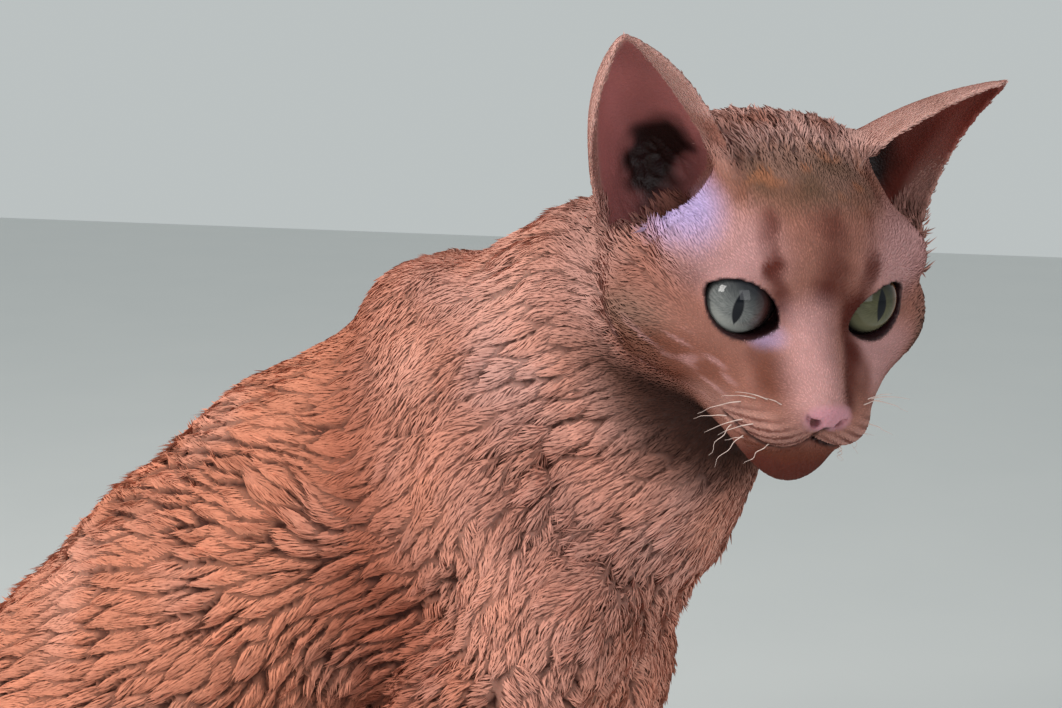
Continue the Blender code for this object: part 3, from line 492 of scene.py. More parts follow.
def ear_lines(v, side):
    """The inner edge, back and outer edge of an ear, 0 at the base to 1 at the tip, in the head's frame."""
    lines = []
    for base, bend in zip(EAR_BASES[side], EAR_BENDS[side]):
        base, bend, tip = (np.array(on_side(p, side)) for p in (base, bend, EAR_TIPS[side]))
        lines.append((1 - v) ** 2 * base + 2 * v * (1 - v) * bend + v * v * tip)
    return lines


def ear_sheet(side):
    """Points and faces of a cupped sheet that thins towards its rim and tip."""
    across, up = EAR_STEPS
    middle = np.zeros((up + 1, across + 1, 3))
    for j in range(up + 1):
        v = EAR_ROOT + (EAR_TOP - EAR_ROOT) * j / up
        inner, back, outer = (from_head(p) for p in ear_lines(v, side))
        for i in range(across + 1):
            middle[j, i] = bow(inner, back, outer, i / across)
    along, rise = np.gradient(middle, axis=1), np.gradient(middle, axis=0)
    normal = np.cross(along, rise) * side
    normal /= np.linalg.norm(normal, axis=2, keepdims=True)
    rim = np.abs(np.linspace(-1, 1, across + 1)) ** 3
    height = np.linspace(0, 1, up + 1) ** 2
    thick = EAR_THICK + (EAR_RIM - EAR_THICK) * np.maximum(rim[None, :], height[:, None])
    wide = np.linalg.norm(middle[:, -1] - middle[:, 0], axis=1)
    thick = np.minimum(thick, EAR_THICK_SHARE * wide[:, None])
    shift = normal * thick[:, :, None] / 2
    points = np.concatenate([(middle + shift).reshape(-1, 3), (middle - shift).reshape(-1, 3)])
    width = across + 1
    half = width * (up + 1)
    faces = []
    for j in range(up):
        for i in range(across):
            a, b, c, d = j * width + i, j * width + i + 1, (j + 1) * width + i + 1, (j + 1) * width + i
            faces += [(a, b, c), (a, c, d), (half + a, half + c, half + b), (half + a, half + d, half + c)]
    edge = [(0, i) for i in range(across)] + [(j, across) for j in range(up)]
    edge += [(up, i) for i in range(across, 0, -1)] + [(j, 0) for j in range(up, 0, -1)]
    loop = [j * width + i for j, i in edge]
    for a, b in zip(loop, loop[1:] + loop[:1]):
        faces += [(a, half + a, half + b), (a, half + b, b)]
    return points, np.array(faces)


# Meshing
def grid_points(low, step, shape, index):
    """The positions of grid nodes, given their flat index."""
    return np.array(low) + np.stack(np.unravel_index(index, shape), axis=1) * step


def field_block(distance, low, high, step):
    """The values of a form on a grid. Only the nodes near the surface are worked out finely."""
    stride = 4
    cells = np.ceil((np.array(high) - np.array(low)) / (step * stride)).astype(int)
    rough_shape = tuple(cells + 1)
    rough = distance(grid_points(low, step * stride, rough_shape, np.arange(np.prod(rough_shape))))
    rough = rough.reshape(rough_shape)
    fine_shape = tuple(cells * stride + 1)
    nearest = [
        np.minimum((np.arange(fine) + stride // 2) // stride, rough_count - 1)
        for fine, rough_count in zip(fine_shape, rough_shape)
    ]
    values = rough[np.ix_(*nearest)].astype(np.float32)
    wanted = np.flatnonzero(np.abs(values) < step * stride * 1.5)
    values.reshape(-1)[wanted] = distance(grid_points(low, step, fine_shape, wanted))
    return values


def mesh_of_block(values, low, step):
    """Points and quads of the surface where the values change sign."""
    grid = openvdb.FloatGrid(60.0)
    grid.copyFromArray(values)
    points, quads = grid.convertToQuads(0.0)
    return points * step + np.array(low), quads


def add_ears(values, low, step, reach=3.0, band=9.0):
    """Blends the sheets of both ears into a block of values."""
    for side in SIDES.values():
        points, faces = ear_sheet(side)
        cells, triangles = ((points - np.array(low)) / step).astype(np.float32), faces.astype(np.uint32)
        grid = openvdb.FloatGrid.createLevelSetFromPolygons(cells, triangles=triangles, halfWidth=band)
        sheet = np.empty(values.shape, np.float32)
        grid.copyToArray(sheet)
        values[:] = blend(values, sheet * step, reach)
    return values


def behind_seam(points):
    """How far behind the seam between the finer mesh of the head and that of the body."""
    return to_head(points) @ SEAM_OUT - SEAM_AT


def half_mesh(points, quads, side):
    """The part of a mesh behind the seam for side 1, or before it for side -1."""
    keep = behind_seam(points[quads].mean(axis=1)) * side > -SEAM_MARGIN
    used, number = np.unique(quads[keep], return_inverse=True)
    mesh = mesh_from_arrays("half", points[used], number.reshape(-1, 4))
    shape = bmesh.new()
    shape.from_mesh(mesh)
    bmesh.ops.bisect_plane(
        shape, geom=[*shape.verts, *shape.edges, *shape.faces], dist=1e-3,
        plane_co=Vector(from_head(SEAM_OUT * SEAM_AT)), plane_no=Vector(HEAD_AXES @ SEAM_OUT),
        clear_inner=side > 0, clear_outer=side < 0,
    )
    keep_largest(shape)
    shape.to_mesh(mesh)
    shape.free()
    return mesh


def keep_largest(shape):
    """Drops every island of the mesh but the largest."""
    shape.verts.index_update()
    seen = np.zeros(len(shape.verts), bool)
    islands = []
    for start in shape.verts:
        if seen[start.index]:
            continue
        seen[start.index] = True
        island, queue = [], [start]
        while queue:
            vert = queue.pop()
            island.append(vert)
            for edge in vert.link_edges:
                other = edge.other_vert(vert)
                if not seen[other.index]:
                    seen[other.index] = True
                    queue.append(other)
        islands.append(island)
    islands.sort(key=len)
    bmesh.ops.delete(shape, geom=[v for island in islands[:-1] for v in island], context="VERTS")


def smooth_skin():
    """Points, triangles and normals of the whole skin, before the locks of the coat."""
    low, high = np.array((-338.0, -128.0, -3.0)), np.array((22.0, 90.0, 306.0))
    body = mesh_of_block(field_block(skin_distance, low, high, BODY_STEP), low, BODY_STEP)
    low, high = HEAD_CENTRE - (66, 74, 66), HEAD_CENTRE + (74, 70, 84)
    values = add_ears(field_block(skin_distance, low, high, HEAD_STEP), low, HEAD_STEP)
    head = mesh_of_block(values, low, HEAD_STEP)
    shape = bmesh.new()
    for half, side in ((body, 1), (head, -1)):
        mesh = half_mesh(*half, side)
        shape.from_mesh(mesh)
        bpy.data.meshes.remove(mesh)
    bmesh.ops.bridge_loops(shape, edges=[e for e in shape.edges if e.is_boundary])
    bmesh.ops.triangulate(shape, faces=shape.faces)
    shape.verts.index_update()
    points = np.array([v.co for v in shape.verts])
    faces = np.array([[v.index for v in f.verts] for f in shape.faces])
    shape.free()
    return points, faces, point_normals(points, faces)


def raised_skin(points, faces, normals, locks):
    """The skin with the locks in its surface, and the state of the locks at its points."""
    state = locks.at(points)
    rise = LOCK_HEIGHT * (state["height"] - LOCK_FOOT) * state["strength"]
    raised = points + normals * rise[:, None]
    raised[:, 2] = np.maximum(raised[:, 2], FLOOR_CLEARANCE)
    return raised, point_normals(raised, faces), state


def point_normals(points, faces):
    a, b, c = (points[faces[:, k]] for k in range(3))
    flat = np.cross(b - a, c - a)
    total = np.zeros_like(points)
    for k in range(3):
        for axis in range(3):
            total[:, axis] += np.bincount(faces[:, k], flat[:, axis], len(points))
    return unit_rows(total)


def mesh_from_arrays(name, points, faces):
    """A mesh from arrays of points and of faces that all have the same number of corners."""
    mesh = bpy.data.meshes.new(name)
    corners = faces.shape[1]
    mesh.vertices.add(len(points))
    mesh.vertices.foreach_set("co", np.ascontiguousarray(points, np.float32).ravel())
    mesh.loops.add(faces.size)
    mesh.loops.foreach_set("vertex_index", np.ascontiguousarray(faces, np.int32).ravel())
    mesh.polygons.add(len(faces))
    mesh.polygons.foreach_set("loop_start", np.arange(0, faces.size, corners, dtype=np.int32))
    mesh.update(calc_edges=True)
    return mesh


def add_object(name, data):
    made = bpy.data.objects.new(name, data)
    bpy.context.scene.collection.objects.link(made)
    return made


def new_piece(name, points, faces, material, tint=None, more=None):
    """An object of the model, from millimetres in the cat's frame, with its colours as attributes."""
    mesh = mesh_from_arrays(name, (points - ORIGIN) * MILLIMETRE, faces)
    if tint is not None:
        colour = mesh.attributes.new("tint", "FLOAT_COLOR", "POINT")
        colour.data.foreach_set("color", np.hstack((tint, np.ones((len(tint), 1)))).astype(np.float32).ravel())
    for attribute, values in (more or {}).items():
        kind, field = ("FLOAT_VECTOR", "vector") if values.ndim == 2 else ("FLOAT", "value")
        mesh.attributes.new(attribute, kind, "POINT").data.foreach_set(field, values.astype(np.float32).ravel())
    mesh.materials.append(material)
    mesh.shade_smooth()
    obj = add_object(name, mesh)
    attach(obj, "root")
    return obj


# Patterns
def noise(points, seed):
    """Smooth noise from -1 to 1 that varies over a length of one."""
    q = points + seed * 17.31
    cell = np.floor(q).astype(np.int64)
    f = q - cell
    f = f * f * (3.0 - 2.0 * f)
    total = np.zeros(len(points))
    for corner in itertools.product((0, 1), repeat=3):
        c = cell + corner
        mixed = (c[:, 0] * 73856093) ^ (c[:, 1] * 19349663) ^ (c[:, 2] * 83492791) ^ (seed * 2654435)
        mixed = ((mixed & 0x7FFFFFFF) * 1103515245 + 12345) & 0x7FFFFFFF
        mixed = ((mixed >> 7) ^ mixed) * 69069 & 0xFFFFFF
        share = np.prod(np.where(corner, f, 1.0 - f), axis=1)
        total += share * (mixed / 8388607.5 - 1.0)
    return total


def ramp(value, start, end):
    """0 before start, 1 after end, and smooth between."""
    t = np.clip((value - start) / (end - start), 0.0, 1.0)
    return t * t * (3.0 - 2.0 * t)


def spot(points, centre, radii, soft=0.6):
    """1 in an ellipsoid and 0 outside, with an edge that is soft over this share of it."""
    near = np.linalg.norm((points - np.array(centre)) / np.array(radii), axis=1)
    return 1.0 - ramp(near, 1.0 - soft, 1.0 + soft)


def zones(points):
    """How much each point belongs to the parts where the coat differs, 0 to 1."""
    x, y, z = points.T
    q = to_head(points)
    behind = q @ SEAM_OUT
    head = (1.0 - ramp(behind, 30.0, 48.0)) * (np.linalg.norm(q, axis=1) < HEAD_NEAR)
    neck = (1.0 - head) * (1.0 - ramp(behind, 52.0, 82.0))
    front = x > LEGS_PART
    limbs = np.where(front, 1.0 - ramp(z, 84.0, 124.0), 1.0 - ramp(z, 22.0, 46.0))
    feet = 1.0 - ramp(z, 12.0, 26.0)
    tail = np.maximum(ramp(-y, 71.0, 75.0) * (z < 32.0), ramp(-x, 288.0, 302.0) * (z < 70.0))
    chest = ramp(x + 0.35 * (z - 150.0), -96.0, -56.0) * (1.0 - head) * (1.0 - limbs) * (1.0 - neck)
    shoulder = ramp(x, -140.0, -108.0) * (1.0 - head) * (1.0 - limbs) * (1.0 - chest) * (1.0 - neck)
    thigh = ramp(-x, 120.0, 160.0) * (1.0 - ramp(z, 96.0, 130.0)) * (1.0 - limbs)
    folded = fold(q)
    crown = ramp(q[:, 2], 27.0, 32.0) * (1.0 - ramp(q[:, 0], 2.0, 16.0))
    jowl = spot(folded, RUFF_PLACE, RUFF_REACH, 0.35) * (1.0 - ramp(q[:, 0], 14.0, 28.0))
    ruff = np.maximum(np.maximum(crown, jowl), ramp(-q[:, 0], 4.0, 20.0))
    ears = np.maximum(on_ear(q, 1), on_ear(q, -1))
    return {
        "head": head, "neck": neck, "limbs": limbs, "feet": feet, "tail": tail, "chest": chest,
        "shoulder": shoulder, "thigh": thigh, "ruff": ruff * head * (1.0 - ears),
    }


def tail_course(points):
    """The way the tail runs beside each point."""
    path = np.array(tail_points())
    nearest = np.full(len(points), np.inf)
    course = np.zeros_like(points)
    for a, b in zip(path, path[1:]):
        along = (b - a) / np.linalg.norm(b - a)
        reach = np.clip((points - a) @ along, 0.0, np.linalg.norm(b - a))
        off = np.linalg.norm(points - a - reach[:, None] * along, axis=1)
        closer = off < nearest
        nearest[closer] = off[closer]
        course[closer] = along
    return course


def lie_of(points, normals, zone):
    """The way the coat lies at each point, along the skin."""
    x, z = points[:, 0], points[:, 2]
    fan = np.stack((np.minimum(x - WHORL[0], -14.0), 0.0 * x, z - WHORL[1]), axis=1)
    high = ramp(z, WHORL[1] + 14.0, WHORL[1] + 34.0)[:, None]
    lie = unit_rows(fan) * (1.0 - high) + high * np.array(BACK_LIE)
    lie += ramp(x, -132.0, -104.0)[:, None] * (np.array(SHOULDER_LIE) - lie)
    steps = (
        ("thigh", THIGH_LIE), ("chest", CHEST_LIE), ("neck", SHOULDER_LIE), ("limbs", DOWN_LIE),
        ("feet", FORWARD_LIE),
    )
    for name, way in steps:
        lie += zone[name][:, None] * (np.array(way) - lie)
    hock = (x < LEGS_PART) * (1.0 - ramp(z, 30.0, 50.0))
    lie += hock[:, None] * (np.array(FORWARD_LIE) - lie)
    lie += zone["tail"][:, None] * (tail_course(points) - lie)
    lie += zone["head"][:, None] * (head_lie(points) - lie)
    lie -= normals * np.sum(lie * normals, axis=1)[:, None]
    return unit_rows(lie)


def head_lie(points):
    """Fur of the face lies away from the nose, and that of an ear towards its tip."""
    q = to_head(points)
    way = unit_rows(q - np.array(NOSE_TIP))
    for side in SIDES.values():
        tip = np.array(on_side(EAR_TIPS[side], side))
        ear = on_ear(q, side)
        way += ear[:, None] * (unit_rows(tip - q) - way)
    return way @ HEAD_AXES.T


def on_ear(q, side):
    """How much a point of the head's frame belongs to an ear of one side."""
    out = q @ np.array(on_side(EAR_UP, side))
    return ramp(out, 36.0, 46.0) * (q[:, 1] * side > 8.0)


# Locks
class Locks:
    """The locks of the coat: where each is, how it lies, and what it does to the skin and fur near it."""

    def __init__(self, points, normals):
        draw = np.random.default_rng(SEED)
        zone = zones(points)
        tries = np.flatnonzero(waviness(points, zone) > 0.04)
        tries = draw.permutation(tries)[:LOCK_TRIES]
        lie = lie_of(points, normals, zone)
        across = np.cross(normals, lie)
        sizes = lock_sizes(zone)
        chosen, places = [], np.empty((LOCK_TRIES, 3))
        for k in tries:
            off = places[:len(chosen)] - points[k]
            width, length, _ = sizes[k]
            near = (off @ across[k] / width) ** 2 + (off @ lie[k] / length) ** 2
            near += (off @ normals[k] / width) ** 2
            if (near > LOCK_CLOSE ** 2).all():
                places[len(chosen)] = points[k]
                chosen.append(k)
        self.places, self.lie, self.across = points[chosen], lie[chosen], across[chosen]
        self.out, self.sizes = normals[chosen], sizes[chosen, :2] * (0.8 + 0.4 * draw.random((len(chosen), 1)))
        self.turn = sizes[chosen, 2] * draw.normal(size=len(chosen))
        self.tone = draw.normal(size=len(chosen))
        self.tree = KDTree(len(chosen))
        for number, place in enumerate(self.places):
            self.tree.insert(place, number)
        self.tree.balance()

    def at(self, points):
        """The state of the locks at each point: how high the lock stands and how deep the crease beside it is,
        how far the point is across and along the lock, the lock's turn and tone, and how strong locks are."""
        names = ("height", "crease", "lean", "end", "turn", "tone", "streak")
        state = {name: np.zeros(len(points)) for name in names}
        state["strength"] = waviness(points, zones(points))
        some = np.flatnonzero(state["strength"] > 0.01)
        place = points[some]
        near = np.array([[hit[1] for hit in self.tree.find_n(p, LOCK_NEIGHBOURS)] for p in place])
        wander = np.stack([noise(place / LOCK_WAVE, 61 + k) for k in range(3)], axis=1) * LOCK_WANDER
        off = (place + wander)[:, None] - self.places[near]
        across = np.sum(off * self.across[near], axis=2) / self.sizes[near, 0]
        along = np.sum(off * self.lie[near], axis=2) / self.sizes[near, 1]
        up = np.sum(off * self.out[near], axis=2) / self.sizes[near, 0]
        away = np.sqrt(across ** 2 + along ** 2 + (0.5 * up) ** 2)
        order = np.argsort(away, axis=1)[:, :2]
        row = np.arange(len(some))
        first, second = order.T
        gap = away[row, second] - away[row, first]
        rounded = 1.0 - (1.0 - np.minimum(gap / 0.42, 1.0)) ** 2
        deep = 0.30 + 0.70 * ramp(noise(place / 12.0, 67), -0.40, 0.30)
        mine, u, v = near[row, first], across[row, first], along[row, first]
        state["crease"][some] = deep * (1.0 - rounded)
        state["height"][some] = (1.0 - deep * (1.0 - rounded)) * np.clip(0.86 + 0.30 * v, 0.0, 1.2)
        state["lean"][some], state["end"][some] = -u, ramp(v, 0.10, 0.50)
        state["turn"][some], state["tone"][some] = self.turn[mine], self.tone[mine]
        wide, long = self.sizes[mine].T
        hair = np.stack((u * wide / 0.8, v * long / 7.0, 9.0 * self.tone[mine]), axis=1)
        state["streak"][some] = noise(hair, 71)
        return state


def waviness(points, zone):
    """How strong the locks are at each point, 0 to 1."""
    strength = 1.0 - 0.50 * ramp(points[:, 2], 196.0, 240.0) * (1.0 - zone["neck"]) - 0.22 * zone["neck"]
    strength *= 1.0 - zone["head"] + RUFF_LOCKS * zone["ruff"]
    strength *= (1.0 - 0.8 * zone["limbs"]) * (1.0 - zone["feet"])
    strength *= 1.0 - 0.85 * zone["tail"]
    return np.clip(strength, 0.0, 1.0) * (0.85 + 0.25 * noise(points / 30.0, 19))


def lock_sizes(zone):
    """Width and length of a lock at each point, and how much its way varies."""
    sizes = np.tile(np.array(LOCK_SIZES["flank"]), (len(zone["chest"]), 1))
    for name in ("thigh", "shoulder", "neck", "chest", "ruff"):
        sizes += zone[name][:, None] * (np.array(LOCK_SIZES[name]) - sizes)
    return sizes


# Colours
def mix(colour, other, share):
    return colour + share[:, None] * (np.array(other) - colour)


def coat_tint(points, state):
    """The colour of the coat at each point: the same for the skin and for the tufts over it. It carries painted
    shade in the creases, on the shoulder and on the throat, and a painted highlight on the crests of the locks.
    """
    zone = zones(points)
    strength = state["strength"]
    tint = np.tile(np.array(RED), (len(points), 1))
    # The shoulder is darker, painted shade where it is less lit, and the lighter patches are held off it.
    tint = mix(tint, SHOULDER_SHADE_RED, 0.85 * zone["shoulder"])
    pale = 0.42 * zone["chest"] + 0.75 * zone["neck"]
    tint = mix(tint, CREAM, np.clip(pale, 0.0, 1.0) * (0.70 + 0.45 * noise(points / 12.0, 23)))
    light = 0.55 * ramp(noise(points / 24.0, 29), -0.3, 0.7)
    tint = mix(tint, LIGHT_RED, light * (1.0 - 0.8 * zone["shoulder"]))
    tint = mix(tint, LIGHT_RED, 0.6 * zone["limbs"])
    tint = mix(tint, CREAM, 0.5 * zone["feet"])
    bands = 0.5 + 0.5 * np.sin(np.linalg.norm(points - (-340.0, -60.0, 0.0), axis=1) / 5.2)
    tint = mix(tint, CREASE_SHADE_AND_BANDS, 0.16 * zone["tail"] * bands)
    # Painted shade in the creases between locks, over the darker undercoat there.
    tint = mix(tint, CREASE_SHADE_AND_BANDS, 0.94 * strength * ramp(state["crease"], 0.14, 0.72))
    # Painted highlight on the raised crests of the locks, strongest on the chest.
    tint = mix(tint, CREAM, (0.12 + 0.36 * zone["chest"]) * strength * ramp(state["height"], 0.84, 1.08))
    tint *= 1.0 + ((0.06 * state["tone"] + 0.15 * state["streak"]) * strength)[:, None]
    # Painted shadow of the head on the throat.
    under = spot(points, THROAT_SHADOW_PLACE, THROAT_SHADOW_REACH, 0.45)
    tint = mix(tint, THROAT_SHADOW, 0.93 * under)
    near = np.linalg.norm(points - HEAD_CENTRE, axis=1) < HEAD_NEAR
    if near.any():
        tint[near] = mix_rows(tint[near], face_tint(to_head(points[near])), zone["head"][near])
        # Painted shade in the creases of the ruff.
        tint[near] = mix(tint[near], CREASE_SHADE_AND_BANDS, 0.75 * (zone["ruff"] * ramp(state["crease"], 0.25, 0.85))[near])
    return np.clip(tint * (1.0 + 0.07 * noise(points / 3.1, 31)[:, None]), 0.0, 1.0)


def mix_rows(colour, other, share):
    return colour + share[:, None] * (other - colour)


def stripe(q, start, end, width, soft=0.8):
    """1 along a line of the head from start to end and 0 off it."""
    start, end = np.array(start), np.array(end)
    along = end - start
    share = np.clip((q - start) @ along / (along @ along), 0.0, 1.0)
    off = np.linalg.norm(q - start - share[:, None] * along, axis=1)
    return 1.0 - ramp(off, width * (1.0 - soft), width * (1.0 + soft))


def face_tint(q):
    """The markings of the head, in its own frame, with painted highlights on the near side of the brow and
    nose, and painted shade under the chin and jaw.
    """
    x, y, z = q.T
    side_y = np.abs(y)
    folded = fold(q)
    cloud = noise(q / 6.5, 37)
    tint = np.tile(np.array(FACE_RED), (len(q), 1))
    tint = mix(tint, CREAM, 0.90 * ramp(z, 25.0, 34.0) * ramp(noise(q / 9.0, 38), -0.8, 0.1))
    tint = mix(tint, CREAM, 0.50 * ramp(side_y, 26.0, 40.0) * (1.0 - ramp(x, -4.0, 12.0)))
    tint = mix(tint, PALE_PINK, 0.90 * spot(folded, (22.0, 26.0, 14.0), (16.0, 14.0, 10.0)))
    band = spot(q, (13.0, -2.0, 29.0), (11.0, 22.0, 8.0), 0.55)
    tint = mix(tint, FACE_BROWN, 0.90 * band * (0.85 + 0.25 * cloud))
    tint = mix(tint, BAND_SPOT, 0.55 * band * ramp(noise(q / 3.6, 41), 0.0, 0.60))
    # Painted highlight on the near side of the brow.
    tint = mix(tint, LILAC_HIGHLIGHT, 0.92 * spot(q, (6.0, -32.0, 17.0), (14.0, 9.5, 9.0), 0.50))
    broken = q + 1.3 * np.stack([noise(q / 3.4, 88 + k) for k in range(3)], axis=1)
    for start, end, width, share in FACE_STRIPES:
        tint = mix(tint, STRIPE, share * stripe(broken, start, end, width) * (0.80 + 0.4 * cloud))
    tint = mix(tint, GREY_BROWN, 0.75 * spot(folded, (17.0, 42.0, -13.0), (11.0, 9.0, 10.0)))
    cheek = spot(folded, (25.0, 32.0, -17.0), (22.0, 14.0, 8.5), 0.5) * np.where(y > 0.0, 0.35, 1.0)
    tint = mix(tint, PALE_PINK, 0.75 * spot(q, (34.0, 22.0, -10.0), (14.0, 14.0, 8.0), 0.5))
    tint = mix(tint, CHEEK_RED, 0.92 * cheek * (0.85 + 0.3 * cloud))
    hair = noise(np.stack((x / 9.0 - z / 12.0, side_y / 9.0, z / 1.6 + x / 4.0), axis=1), 43)
    tint = mix(tint, PALE_PINK, 0.60 * cheek * ramp(hair, 0.15, 0.60))
    # Painted highlight beside the nose on the near side.
    tint = mix(tint, LILAC_HIGHLIGHT, 0.55 * spot(q, (34.0, -13.0, -4.5), (4.5, 5.5, 3.0), 0.5))
    tint = mix(tint, CHEEK_RED, 0.70 * spot(folded, (41.0, 12.5, -11.5), (8.0, 5.0, 5.5), 0.5))
    tint = mix(tint, CREAM, 0.30 * spot(folded, (34.0, 22.0, -24.0), (9.0, 8.0, 5.5)))
    muzzle = spot(folded, (45.0, 12.0, -26.0), (13.0, 12.0, 7.0), 0.4)
    rows = ramp(np.sin((z + 0.45 * side_y - 0.15 * x) * 2.3 + 1.8 * noise(q / 7.0, 47)), -0.1, 0.8)
    tint = mix(tint, CREAM, 0.40 * muzzle)
    tint = mix(tint, STRIPE, 0.78 * muzzle * rows)
    tint = mix(tint, PALE_PINK, 0.80 * stripe(q, (34.0, -4.0, 0.0), (50.0, -3.0, -13.0), 6.5))
    tint = mix(tint, STRIPE, 0.85 * stripe(q, (33.0, 9.0, 3.0), (36.0, 11.0, -7.0), 3.6))
    tint = mix(tint, STRIPE, 0.85 * stripe(q, (36.0, 11.0, -7.0), (50.0, 6.0, -13.5), 3.0))
    # The chin is darkened: painted shade under it.
    tint = mix(tint, STRIPE, 0.92 * spot(folded, (42.0, 3.0, -37.0), (15.0, 13.0, 7.5), 0.4))
    tint = mix(tint, CHEEK_RED, 0.70 * spot(folded, (46.0, 8.0, -31.0), (11.0, 13.0, 3.5), 0.5))
    # Painted shadow under the jaw and on the throat below it.
    return mix(tint, THROAT_SHADOW, 0.92 * ramp(-z, 24.0, 36.0) * (1.0 - ramp(x, 22.0, 34.0)))


def bare_tint(q, tint, weights):
    """Adds what has no fur to the skin's tint: nose leather, lids, the mouth's line and the ears' insides, with
    painted shade in the ears' canals and over the inside of the left ear.
    """
    veins = 0.82 + 0.30 * noise(q / (9.0, 9.0, 14.0), 79)
    # Lit and shaded copies of the ear's inside: the left one carries painted shade.
    sided_ear_pink = np.where(q[:, 1:2] > 0.0, EAR_PINK_LIT_AND_SHADED[1], EAR_PINK_LIT_AND_SHADED[-1]) * veins[:, None]
    tint = mix_rows(tint, sided_ear_pink, weights["ear"])
    # Painted shade in the ear canal.
    tint = mix(tint, EAR_CANAL_SHADE, weights["canal"])
    leather = np.array(NOSE_PINK) * (1.0 - 0.45 * ramp(-q[:, 2], 18.0, 23.0))[:, None]
    tint = mix_rows(tint, leather, weights["nose"])
    tint = mix(tint, DARK_LIP, weights["mouth"])
    return mix(tint, LID_DARK, weights["lid"])


def bare_places(q, normals):
    """Where the head has no fur, 0 to 1, from places and normals in the head's frame."""
    x, _, z = q.T
    nose = spot(q, (53.0, 0.0, -17.6), (4.6, 6.8, 4.4), 0.30) * (z > -24.0)
    mouth = np.where(x > 24.0, 1.0 - ramp(mouth_line(q), 0.5, 1.2), 0.0)
    lid, ear, canal = np.zeros(len(q)), np.zeros(len(q)), np.zeros(len(q))
    for side in SIDES.values():
        eye = ball(on_side(EYE_CENTRE, side), (EYE_RADIUS,) * 3)(q)
        rim = (1.0 - ramp(eye_opening(q, side), 0.2, 0.8)) * (eye < LID + 3.0) * (x > 8.0)
        lid = np.maximum(lid, rim)
        bowl, inner = ear_inside(q, normals, side)
        ear = np.maximum(ear, bowl)
        canal = np.maximum(canal, inner)
    return {"nose": nose, "mouth": mouth, "lid": lid, "ear": ear, "canal": canal}


def ear_inside(q, normals, side):
    """How much a point is on the inner face of an ear, and in its canal, which is painted dark as shade in the
    ear's hollow.
    """
    height = q @ np.array(on_side(EAR_UP, side))
    v = np.clip((height - 22.0) / 58.0, 0.0, 1.0)[:, None]
    inner, back, outer = ear_lines(v, side)
    mouth = (inner + outer) / 2
    inward = unit_rows(mouth - back)
    facing = np.sum(normals * inward, axis=1)
    depth = np.sum((q - back) * inward, axis=1)
    width = np.linalg.norm(mouth - back, axis=1)
    along = unit_rows(outer - inner)
    aside = np.sum((q - inner) * along, axis=1)
    span = np.linalg.norm(outer - inner, axis=1)
    inside = ramp(facing, -0.05, 0.25) * (depth > -3.0) * (depth < width * 1.05)
    inside *= ramp(height, 23.0, 28.0) * ramp(aside, -0.5, 1.5) * (1.0 - ramp(aside, span, span + 2.0))
    inside *= q[:, 1] * side > 16.0
    rough = q + 2.4 * noise(q / 4.5, 83)[:, None]
    canal = spot(rough, on_side(CANAL_SHADE_PLACE, side), CANAL_SHADE_REACH, 0.40)
    cup = spot(q, on_side(CANAL_SHADE_PLACE, side), (14.0, 12.0, 12.0), 0.2) * ramp(depth, 0.0, 1.0)
    return inside, canal * np.maximum(inside, cup) * ramp(facing, -0.6, -0.2)


def skin_tint(points, normals, state):
    """The skin's colour and how bare it is, for every point. Where fur covers it the skin carries painted
    shade, deepest in the creases.
    """
    # Painted shade on the skin under the coat, deepest in the creases between locks.
    tint = coat_tint(points, state) * (0.80 - SKIN_PAINTED_SHADE * state["strength"])[:, None]
    tint = mix(tint, CREASE_SHADE_SKIN, 0.85 * state["strength"] * ramp(state["crease"], 0.10, 0.50))
    bare = np.zeros(len(points))
    near = np.flatnonzero(np.linalg.norm(points - HEAD_CENTRE, axis=1) < HEAD_NEAR)
    q = to_head(points[near])
    weights = bare_places(q, normals[near] @ HEAD_AXES)
    tint[near] = bare_tint(q, tint[near], weights)
    bare[near] = np.max(list(weights.values()), axis=0)
    return tint, bare


# Tufts
def tuft_places(points, faces, normals, bare, draw):
    """Evenly strewn roots on the skin, more where the zone is finer, with the sizes of each tuft."""
    corners = points[faces]
    middle = corners.mean(axis=1)
    flat = np.cross(corners[:, 1] - corners[:, 0], corners[:, 2] - corners[:, 0])
    area = np.linalg.norm(flat, axis=1) / 2
    sizes = tuft_sizes(middle)
    cover = 1.0 - ramp(bare[faces].mean(axis=1), 0.25, 0.6)
    cover *= 1.0 - (middle[:, 2] < 1.2)
    count = np.cumsum(area * sizes[:, 0] * cover)
    place = np.searchsorted(count, np.arange(0.5, count[-1]))
    a, b = np.sqrt(draw.random(len(place))), draw.random(len(place))
    share = np.stack((1.0 - a, a * (1.0 - b), a * b), axis=1)
    roots = np.einsum("ij,ijk->ik", share, corners[place])
    out = unit_rows(np.einsum("ij,ijk->ik", share, normals[faces[place]]))
    return roots, out, sizes[place]


